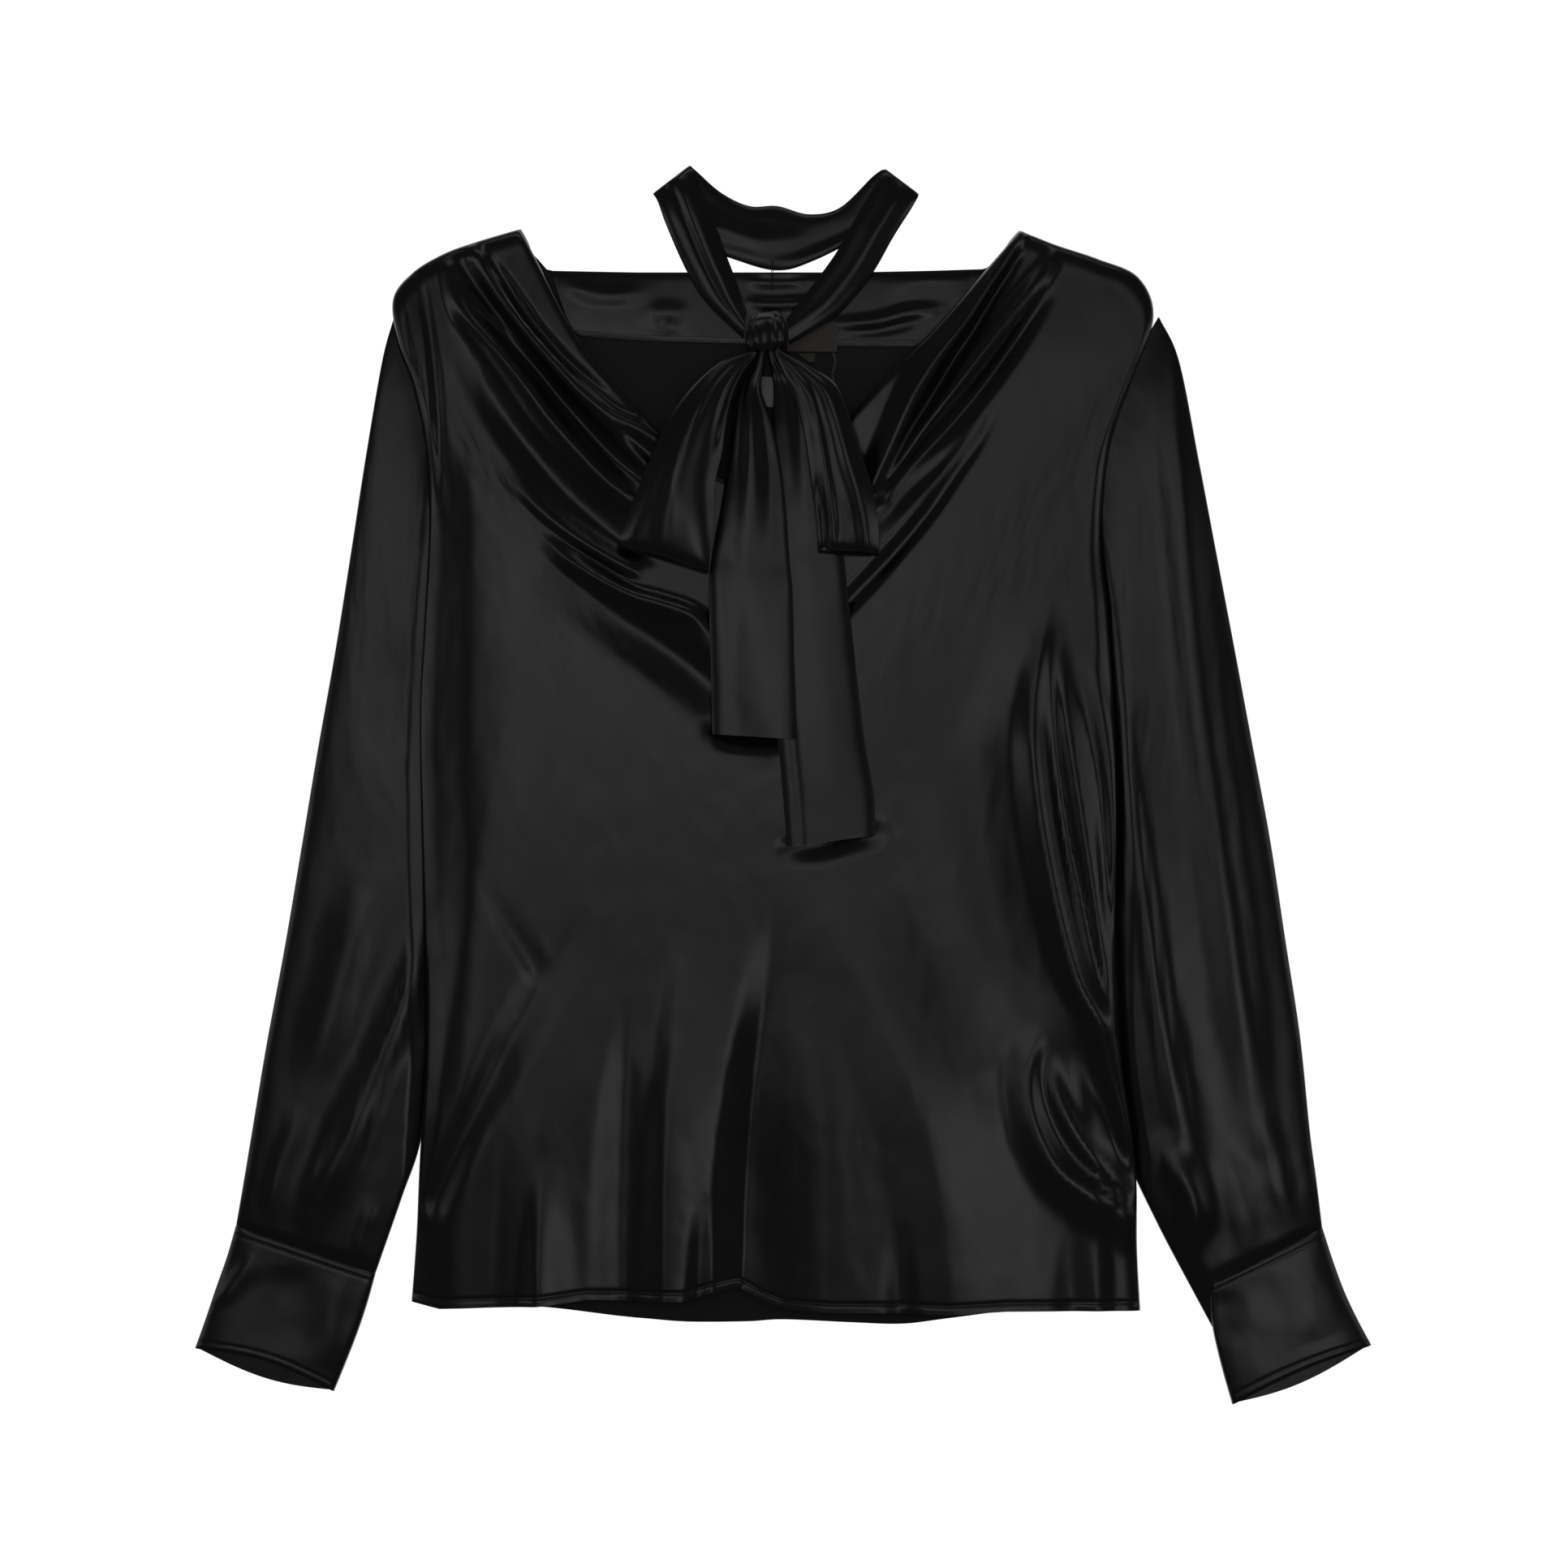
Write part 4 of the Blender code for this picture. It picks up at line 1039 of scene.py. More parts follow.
@dataclass
class Cloth:
    """Grid of cloth that is made into a thin object.

    Attributes:
        name: Name of the object.
        places: Rows of columns of x, y, z in millimetres.
        wall: Thickness of the cloth in millimetres.
        closed: True for a tube, whose last column meets its first.
    """

    name: str
    places: Array
    wall: float
    closed: bool = False

    def _map(self, places: Array) -> Array:
        """Place of each point on the flat cloth in metres, along its rows and columns.

        Args:
            places: Rows of columns of x, y, z in millimetres.

        Returns:
            Two lengths for each point.
        """
        across = np.linalg.norm(np.diff(places, axis=1), axis=2)
        down = np.linalg.norm(np.diff(places, axis=0), axis=2)
        u = np.concatenate((np.zeros((len(places), 1)), np.cumsum(across, axis=1)), 1)
        v = np.concatenate((np.zeros((1, places.shape[1])), np.cumsum(down, axis=0)), 0)
        u = u - u[:, [u.shape[1] // 2]]
        return np.stack((u, np.repeat(v.mean(1, keepdims=True), v.shape[1], 1)), 2) * MM

    def make(self) -> bpy.types.Object:
        """Build the object: a grid laid on the places, then given its thickness.

        Returns:
            The new object, with its map named cloth.
        """
        places = self.places
        if self.closed:
            places = np.concatenate((places, places[:, :1]), 1)
        rows, columns = places.shape[:2]
        flat_map = self._map(places)
        shape = bmesh.new()
        bmesh.ops.create_grid(shape, x_segments=columns - 1, y_segments=rows - 1, size=1.0)
        spots = []
        for vert in shape.verts:
            i = round((1.0 - vert.co.y) / 2.0 * (rows - 1))
            j = round((vert.co.x + 1.0) / 2.0 * (columns - 1))
            spots.append((i, j))
            vert.co = Vector(places[i, j]) * MM
        layer = shape.loops.layers.uv.new("cloth")
        for face in shape.faces:
            face.smooth = True
            for loop in face.loops:
                loop[layer].uv = flat_map[spots[loop.vert.index]]
        if self.closed:
            bmesh.ops.remove_doubles(shape, verts=shape.verts, dist=1e-6)
        for edge in shape.edges:
            edge.smooth = not edge.is_boundary
        piece = add_object(self.name, shape)
        wall = piece.modifiers.new("wall", "SOLIDIFY")
        wall.thickness = self.wall * MM
        wall.offset = 0.0
        return piece


class Dresser:
    """Gives finished pieces their material and their place on the frame."""

    def dress(self, piece: bpy.types.Object, material: bpy.types.Material, slot: str, *nodes: str) -> None:
        """Give a piece its material and body, and hide the solids it stands for.

        Args:
            piece: The piece.
            material: Its material.
            slot: The record's slot for its finish; not used.
            nodes: CAD nodes that it replaces.
        """
        piece.data.materials.clear()
        piece.data.materials.append(material)
        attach(piece, "root")
        if nodes:
            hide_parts(*nodes)
        LOG.info("%s: %d faces", piece.name, len(piece.data.polygons))


@dataclass
class Stitching:
    """Row of small stitches along a line on the cloth."""

    pitch: float = 2.5
    length: float = 1.7
    radius: float = 0.22
    sides: int = 6

    def row(self, name: str, lines: list[Array]) -> bpy.types.Object:
        """Make one object of stitches along some lines.

        Args:
            name: Name of the object.
            lines: Points x, y, z in millimetres of each line.

        Returns:
            The new object.
        """
        shape = bmesh.new()
        for line in lines:
            distance = distances(line)
            for start in np.arange(self.pitch, distance[-1] - self.pitch, self.pitch):
                first, last = at_distance(line, distance, np.array((start, start + self.length)))
                middle = Vector((first + last) / 2.0) * MM
                turn = Vector(last - first).to_track_quat("Z", "Y").to_matrix().to_4x4()
                bmesh.ops.create_cone(
                    shape, cap_ends=True, segments=self.sides, radius1=self.radius * MM,
                    radius2=self.radius * MM, depth=self.length * MM,
                    matrix=Matrix.Translation(middle) @ turn)
        return add_object(name, shape)


@dataclass
class FrontPanel(Dresser):
    """Front with its cowl folds, rolled sides, turned neckline and narrow hem."""

    # Shares of the way to the hem: rows of the body, rows of the hem, how far ahead a row's way is read,
    # and from where the rows bend to the hem's own line.
    BODY_SHARES = (0.0125, 0.9765)
    HEM_SHARES = (0.979, 1.0)
    AHEAD = 0.02
    HEM_MOVES_FROM = 0.86
    # Neckline: plain width at each side, and the width over which the cloth starts to turn in.
    CORNER = (6.0, 16.0)
    # Hem: depth and width of the stitched groove, and what the turned cloth adds below it.
    GROOVE = (0.55, 1.1)
    TURNED_HEM = 0.3

    drape: FrontDrape
    rows: int = 176
    hem_rows: int = 13
    columns: int = 150
    side_steps: int = 17
    fine_steps: int = 160

    def shares(self) -> tuple[Array, Array, Array]:
        """Share of the way to the hem, drop and inward move of each row.

        Returns:
            Those three numbers for each row from the neckline to the hem.
        """
        inward, drop, share = np.array(NECK_ROWS).T
        body = np.linspace(*self.BODY_SHARES, self.rows)
        hem = np.linspace(*self.HEM_SHARES, self.hem_rows)
        plain = np.zeros(self.rows + self.hem_rows)
        return (np.concatenate((share, body, hem)), np.concatenate((drop, plain)),
                np.concatenate((inward, plain)))

    def row(self, share: float, inward: float, profile: Array) -> Array:
        """Places x, y along one row of the cloth, from the left seam to the right one.

        Args:
            share: Share of the way from the neckline to the hem.
            inward: How far the row is turned in at the neckline.
            profile: Inward distance and share of the height of each step round a side.

        Returns:
            The places, before the hem's own line is followed.
        """
        lines = front_lines()
        tops = profile[profile[:, 1] > 0.5, 0]
        unders = profile[profile[:, 1] <= 0.5, :1]
        inner = np.linspace(0.0, 1.0, self.columns)[1:-1]
        steps = np.linspace(0.0, 1.0, self.fine_steps)
        fine = spline(on_curve(lines, share), steps)
        way = spline(on_curve(lines, min(share + self.AHEAD, 1.0)), steps) - fine
        way = way / np.maximum(np.linalg.norm(way, axis=1, keepdims=True), 1e-6)
        length = distances(fine)
        total = length[-1]
        reach = np.concatenate((tops, tops[-1] + inner * (total - 2 * tops[-1]), total - tops[::-1]))
        left, left_in = edge_places(lines[:, 0], share, 1.0)
        right, right_in = edge_places(lines[:, 4], share, -1.0)
        place = np.concatenate((left + unders * left_in, at_distance(fine, length, reach),
                                right + unders[::-1] * right_in))
        if inward:
            reach = np.concatenate(([0.0] * len(unders), reach, [total] * len(unders)))
            plain, width = self.CORNER
            turned = ease((np.minimum(reach, total - reach) - plain) / width)
            move = (inward + NECK_CORNER) * turned - NECK_CORNER
            place += move[:, None] * at_distance(way, length, reach)
        return place

    def places(self) -> Array:
        """Grid of the cloth's middle, from the neckline to the hem.

        Returns:
            Rows of columns of x, y, z.
        """
        profile = spline(SIDE_PROFILE, np.linspace(0.0, 1.0, self.side_steps))
        part = np.concatenate((profile[:, 1], np.ones(self.columns - 2), profile[::-1, 1]))
        grid = []
        for share, drop, inward in zip(*self.shares()):
            place = self.row(share, inward, profile)
            heights = self.drape.height(place[:, 0], place[:, 1])
            hem_move = ease((share - self.HEM_MOVES_FROM) / (1.0 - self.HEM_MOVES_FROM))
            place[:, 1] += hem_move * (hem_at(place[:, 0]) - HEM_LINE)
            heights = heights + self.hem_relief(place)
            grid.append(np.column_stack((place, SEAM_HEIGHT + part * (heights - SEAM_HEIGHT - drop))))
        return np.array(grid)

    def hem_relief(self, place: Array) -> Array:
        """Groove of the hem's stitching and the extra thickness of the turned cloth below it.

        Args:
            place: Places x, y.

        Returns:
            Millimetres to add at each place.
        """
        from_edge = place[:, 1] - hem_at(place[:, 0])
        depth, width = self.GROOVE
        groove = -depth * np.exp(-((from_edge - HEM_DEPTH) / width) ** 2)
        return groove + self.TURNED_HEM * (1.0 - ease((from_edge - HEM_DEPTH + 1.0) / 2.0))

    def stitch_line(self) -> Array:
        """Line of the hem's stitching on the upper side of the cloth.

        Returns:
            Points x, y, z.
        """
        steps, end_room = 220, 6
        hem = spline(FRONT_HEM, np.linspace(0.0, 1.0, steps))[end_room:-end_room]
        place = hem + (0.0, HEM_DEPTH)
        moved = place - (0.0, 1.0) * (np.interp(place[:, 0], hem[:, 0], hem[:, 1])[:, None] - HEM_LINE)
        z = self.drape.height(moved[:, 0], moved[:, 1]) + self.hem_relief(place) + SATIN_WALL / 2.0
        return np.column_stack((place, z + LIFT_OFF))

    def build(self) -> None:
        """Make the front and its hem stitches."""
        front = Cloth("front_cloth", self.places(), SATIN_WALL).make()
        self.dress(front, SATIN.material("front"), "satin", "front")
        stitches = Stitching().row("front_hem_stitches", [self.stitch_line()])
        self.dress(stitches, BLACK_THREAD.material("front hem"), "thread")


@dataclass
class BackPanel(Dresser):
    """Back, flat on the floor, with the wrong side of the satin up and a narrow hem."""

    rows: int = 90
    columns: int = 96
    shoulder_drop: float = 5.0
    wave: float = 0.12

    def places(self) -> Array:
        """Grid of the cloth's middle, from the neckline to the hem.

        Returns:
            Rows of columns of x, y, z.
        """
        lines = front_lines()
        left, right = [], []
        for share in np.linspace(4.0 / (len(lines) - 1.0), 1.0, 14):
            for edge, turn, side in ((lines[:, 0], 1.0, left), (lines[:, 4], -1.0, right)):
                place, way = edge_places(edge, share, turn)
                side.append(place + (SIDE_TURN - 1.0) * way)
        for side in (left, right):
            side[0] = side[0] - (0.0, self.shoulder_drop)
        low_neck = NECKLINE_BACK - 1
        corners = (
            left[0], (-212, 302), (-188, 315), (-158, 326), (-150, 319), (-143, NECKLINE_BACK),
            (-90, low_neck), (-30, low_neck), (40, low_neck), (90, NECKLINE_BACK),
            (122, NECKLINE_BACK + 1), (131, 320), (141, 325), (162, 316), (184, 308), right[0],
        )
        across = np.linspace(0.0, 1.0, self.columns)
        own = np.linspace(0.0, 1.0, len(corners))
        top = np.column_stack([np.interp(across, own, [c[k] for c in corners]) for k in (0, 1)])
        low = spline(BACK_HEM, across)
        grid = []
        for v in np.linspace(0.0, 1.0, self.rows):
            sides = self.between(on_curve(left, v), on_curve(right, v), across)
            ends = top * (1.0 - v) + low * v
            straight = (self.between(top[0], top[-1], across) * (1.0 - v)
                        + self.between(low[0], low[-1], across) * v)
            place = sides + ends - straight
            grid.append(np.column_stack((place, self.height(place))))
        return np.array(grid)

    @staticmethod
    def between(start: Array, end: Array, shares: Array) -> Array:
        """Points on the straight line from start to end."""
        return start + (end - start) * shares[:, None]

    def height(self, place: Array) -> Array:
        """Middle of the cloth above the floor: low waves that show inside the neck and at the hem.

        Args:
            place: Places x, y.

        Returns:
            Height at each place.
        """
        x, y = place.T
        waves = np.sin(x / 17.0 + y / 29.0) * np.sin(y / 23.0 - 1.0)
        return SATIN_WALL / 2.0 + self.wave * (1.0 + waves)

    def build(self) -> None:
        """Make the back."""
        back = Cloth("back_cloth", self.places(), SATIN_WALL).make()
        self.dress(back, WRONG_SIDE.material("back"), "wrong_side", "back")


@dataclass
class NeckFacing(Dresser):
    """Satin facing inside the back neckline, laid on the back."""

    rows: int = 26
    columns: int = 120
    wall: float = 0.6
    rise: float = 0.7
    ridge: float = 0.5
    edge_drop: float = 0.35
    folds: tuple[tuple[float, float, Line], ...] = (
        (1.3, 4.0, ((1020, 400), (1075, 396), (1120, 384), (1160, 380))),
        (-0.8, 3.0, ((1040, 408), (1090, 404), (1130, 394))),
        (1.2, 3.0, ((925, 345), (955, 347), (1000, 345))),
        (1.3, 3.0, ((925, 372), (955, 374), (1005, 371))),
        (0.8, 6.0, ((800, 388), (823, 384), (846, 390))),
        (-0.6, 5.0, ((812, 399), (823, 400), (836, 399))),
        (0.9, 5.0, ((700, 350), (740, 362), (790, 360))),
        (0.9, 6.0, ((1100, 350), (1150, 345), (1200, 350))),
    )

    def places(self) -> Array:
        """Grid of the facing's middle.

        Returns:
            Rows of columns of x, y, z.
        """
        top, low = (smooth_rows(edge, self.columns) for edge in (
            ((-141, 309.5), (-90, 308.5), (-30, 308.5), (40, 308.5), (90, 309.5), (120, 310.5)),
            ((-128, 272), (-91, 269), (-31, 267), (34, 265.5), (85, 265.5), (112, 268))))
        grid = []
        for v in np.linspace(0.0, 1.0, self.rows):
            line = top * (1.0 - v) + low * v
            ridge = self.ridge * math.sin(math.pi * v) * (1.0 + np.sin(line[:, 0] / 23.0)) / 2.0
            z = BACK_TOP + self.rise + ridge - self.edge_drop * (abs(2.0 * v - 1.0) ** 12)
            for height, width, points in self.folds:
                z = z + Fold.soft(height, width, drawn(points)).lift(line[:, 0], line[:, 1])
            grid.append(np.column_stack((line, np.maximum(z, BACK_TOP + self.rise - self.edge_drop))))
        return np.array(grid)

    def build(self) -> None:
        """Make the facing with the row of stitches along its lower edge."""
        places = self.places()
        facing = Cloth("back_neck_facing_cloth", places, self.wall).make()
        self.dress(facing, SATIN.material("back neck facing"), "satin", "back_neck_facing")
        line = places[-3] + (0.0, 0.0, self.wall / 2.0 + LIFT_OFF)
        stitches = Stitching().row("facing_stitches", [line])
        self.dress(stitches, BLACK_THREAD.material("facing"), "thread")


@dataclass
class Tube(Dresser):
    """Flattened tube of cloth on the floor: a sleeve or a cuff.

    Attributes:
        FLATTENED: How flat the ring lies across the tube.
        BENT: How far the ring is bent from round towards square in its height.
        BOW: Reach and skew of the bow towards the body.
        HANG_FROM: Share of the width from which the inner edge sags.
        SAG: How far the sagging edge also moves outwards, how early, and how it thins.
        MOUTH_FROM: Share of the length from which the mouth opens.
        hand: Side of the blouse.
        table: Sections, as the tables of the sleeves say.
        folds: Folds on the upper side.
        mouth: How far the upper layer is drawn back at the mouth, and the lower one comes out.
        tucked: True where the front's turned side lies over the tube.
    """

    FLATTENED = 1.5
    BENT = 0.5
    BOW = (5.2, 1.3)
    HANG_FROM = 0.84
    SAG = (0.64, 0.75, 0.018)
    MOUTH_FROM = 0.4

    hand: Hand
    table: Line
    folds: tuple[Fold, ...]
    wall: float
    rows: int
    ring: int = 72
    mouth: tuple[float, float] = (0.0, 0.0)
    tucked: bool = False

    def outside_body(self, place: Array) -> Array:
        """How far places x, y lie outside the side edges of the front.

        Args:
            place: Places x, y.

        Returns:
            The distances, which are 0 inside the edges.
        """
        lines = front_lines()[4:]
        left, right = (spline(lines[:, k], np.linspace(0.0, 1.0, 60))[::-1] for k in (0, 4))
        low = np.interp(place[:, 1], left[:, 1], left[:, 0]) - place[:, 0]
        high = place[:, 0] - np.interp(place[:, 1], right[:, 1], right[:, 0])
        return np.maximum(np.maximum(low, high), 0.0)

    def places(self) -> Array:
        """Grid of the tube's middle, ring after ring from the body outwards.

        Returns:
            Rows of columns of x, y, z.
        """
        turn = np.linspace(0.0, 2.0 * math.pi, self.ring, endpoint=False)
        sections = smooth_rows(self.table, self.rows)
        return np.array([self.section(section, index / (self.rows - 1.0), np.cos(turn), np.sin(turn))
                         for index, section in enumerate(sections)])

    def section(self, section: Array, along: float, cosine: Array, sine: Array) -> Array:
        """One ring of the tube.

        Args:
            section: Its row of the table.
            along: Share of the tube's length.
            cosine: Cosine of each step of the ring.
            sine: Sine of each step of the ring, which is above 0 on the upper side.

        Returns:
            Places x, y, z of the ring.
        """
        low = self.wall / 2.0
        upper_from, thin, thin_step = 0.01, 2.2, 2.0
        outer, inner = section[:2], section[2:4]
        height, bow, sag = section[4:]
        half = np.linalg.norm(inner - outer) / 2.0
        way = (inner - outer) / (2.0 * half)
        across = np.sign(cosine) * (half - low) * (1.0 - (1.0 - np.abs(cosine)) ** self.FLATTENED)
        place = (outer + inner) / 2.0 + across[:, None] * way
        share = 0.5 + across / (2.0 * half)
        reach, skew = self.BOW
        place[:, 0] += math.copysign(bow, inner[0] - outer[0]) * reach * share * (1.0 - share) ** skew
        hang = ease((share - self.HANG_FROM) / (1.0 - self.HANG_FROM))
        outwards, early, thinner = self.SAG
        place += np.column_stack((outwards * sag * hang ** early, -sag * hang))
        opened = ease((along - self.MOUTH_FROM) / (1.0 - self.MOUTH_FROM)) * np.sin(math.pi * share)
        place[:, 1] += opened * np.where(sine > upper_from, self.mouth[0], -self.mouth[1])
        if self.tucked:
            height = np.minimum(height, EDGE_HEIGHT + EDGE_SLOPE * self.outside_body(place))
        radius = height * (1.0 - thinner * sag * hang) / 2.0 - low
        z = low + radius * (1.0 + squared(sine, self.BENT))
        free = ease((radius - thin) / thin_step) if self.tucked else 1.0
        for fold in self.folds:
            z = z + fold.lift(place[:, 0], place[:, 1]) * ease(sine) * free
        return np.column_stack((place, z + self.relief(along) * ease(sine)))

    def relief(self, along: float) -> float:
        """Extra height of the upper side at a share of the tube's length."""
        return 0.0

    def rim_line(self, places: Array, row: int) -> Array:
        """Points of the upper side along one ring, lifted on to its surface."""
        return places[row, 2:self.ring // 2 - 1] + (0.0, 0.0, self.wall / 2.0 + LIFT_OFF)


@dataclass
class Sleeve(Tube):
    """Sleeve, set in below the rolled side of the front and gathered into its cuff."""

    CUFF_SEAM = (0.8, 0.015)

    @classmethod
    def on(cls, hand: Hand) -> "Sleeve":
        """Sleeve of the given side.

        Args:
            hand: Side of the blouse.

        Returns:
            The sleeve, with its folds.
        """
        folds = [Fold.soft(height, width, np.array(line, float))
                 for height, width, line in SLEEVE_FOLDS[hand]]
        folds += [Fold.soft(height, width, drawn(line)) for height, width, line in SLEEVE_FINE_FOLDS[hand]]
        return cls(hand, SLEEVE_TABLES[hand], tuple(folds), SATIN_WALL, rows=180, tucked=True)

    def relief(self, along: float) -> float:
        """The cloth dips into its seam with the cuff.

        Args:
            along: Share of the sleeve's length.

        Returns:
            Extra height of the upper side.
        """
        drop, length = self.CUFF_SEAM
        return -drop * float(ease((along - 1.0 + length) / length))

    def build(self) -> None:
        """Make the sleeve."""
        side = self.hand.value
        sleeve = Cloth(f"sleeve_{side}_cloth", self.places(), self.wall, closed=True).make()
        self.dress(sleeve, SATIN.material(f"{side} sleeve"), "satin", f"sleeve_{side}")


@dataclass
class Cuff(Tube):
    """Wide double cuff with its seam and two rows of stitches.

    Attributes:
        STITCH_ROWS: Shares of the cuff's length at which its stitches run.
        GROOVE: Depth of their grooves, and their width as a share of the length.
        SEAM_ROLL: Drop and share of the length of the rolled edge at the seam.
        MOUTH_ROLL: The same at the mouth.
    """

    STITCH_ROWS = (0.06, 0.94)
    GROOVE = (0.35, 0.012)
    SEAM_ROLL = (0.7, 0.03)
    MOUTH_ROLL = (0.5, 0.025)

    @classmethod
    def on(cls, hand: Hand) -> "Cuff":
        """Cuff of the given side.

        Args:
            hand: Side of the blouse.

        Returns:
            The cuff, with its folds.
        """
        folds = tuple(Fold.soft(height, width, drawn(line)) for height, width, line in CUFF_FOLDS[hand])
        return cls(hand, CUFF_TABLES[hand], folds, CUFF_WALL, rows=64, mouth=CUFF_MOUTHS[hand])

    def relief(self, along: float) -> float:
        """The cuff's edges are rolled and its stitch rows are sunk.

        Args:
            along: Share of the cuff's length.

        Returns:
            Extra height of the upper side.
        """
        drop, length = self.SEAM_ROLL
        rolled = -drop * float(1.0 - ease(along / length))
        drop, length = self.MOUTH_ROLL
        rolled = rolled - drop * float(ease((along - 1.0 + length) / length))
        depth, width = self.GROOVE
        return rolled + sum(-depth * math.exp(-((along - at) / width) ** 2) for at in self.STITCH_ROWS)

    def build(self) -> None:
        """Make the cuff and its stitches."""
        side = self.hand.value
        places = self.places()
        cuff = Cloth(f"cuff_{side}_cloth", places, self.wall, closed=True).make()
        self.dress(cuff, SATIN.material(f"{side} cuff"), "satin", f"cuff_{side}")
        lines = [self.rim_line(places, round(at * (self.rows - 1))) for at in self.STITCH_ROWS]
        stitches = Stitching().row(f"cuff_{side}_stitches", lines)
        self.dress(stitches, BLACK_THREAD.material(f"{side} cuff stitches"), "thread")


@dataclass
class SashStrip(Dresser):
    """Strip of the sash, laid over what is below it.

    Attributes:
        FULL_WIDTH: Width from which the pleats have their full height.
        drape: What the strip lies on.
        name: Name of the strip's node.
        sections: Rows of x, y of one edge, x, y of the other, height and arch.
        pleats: Its lengthwise pleats.
        columns: Points across the strip.
        span: Rows each way over which the strip spans a dip.
        tilt: How much higher its second edge is, at the sash's full width.
        edge_drop: How far its edges sink.
    """

    FULL_WIDTH = 30.0

    drape: FrontDrape
    name: str
    sections: Array
    pleats: tuple[Pleat, ...] = ()
    columns: int = 34
    span: int = 14
    tilt: float = 0.0
    edge_drop: float = 1.1

    def places(self) -> Array:
        """Grid of the strip's middle.

        Returns:
            Rows of columns of x, y, z.
        """
        across = np.linspace(0.0, 1.0, self.columns)
        start_x, start_y, end_x, end_y, height, arch = self.sections.T[:, :, None]
        x = start_x + (end_x - start_x) * across
        y = start_y + (end_y - start_y) * across
        z = self.drape.bridged(x, y, self.span, 3) + height
        z = z + arch * (1.0 - (2.0 * across - 1.0) ** 2)
        z = z + self.tilt * (across - 0.5) * np.abs(end_x - start_x) / SASH_WIDTH
        z = z - self.edge_drop * np.abs(2.0 * across - 1.0) ** 7
        fullness = np.minimum(np.hypot(end_x - start_x, end_y - start_y) / self.FULL_WIDTH, 1.0)
        for row, along in enumerate(np.linspace(0.0, 1.0, len(z))):
            for pleat in self.pleats:
                z[row] += pleat.lift(along, across) * fullness[row]
        return np.stack((x, y, z), 2)

    def build(self) -> bpy.types.Object:
        """Make the strip.

        Returns:
            The new object.
        """
        piece = Cloth(f"{self.name}_cloth", self.places(), SASH_WALL).make()
        self.dress(piece, SATIN.material(self.name.replace("_", " ")), "sash", self.name)
        return piece


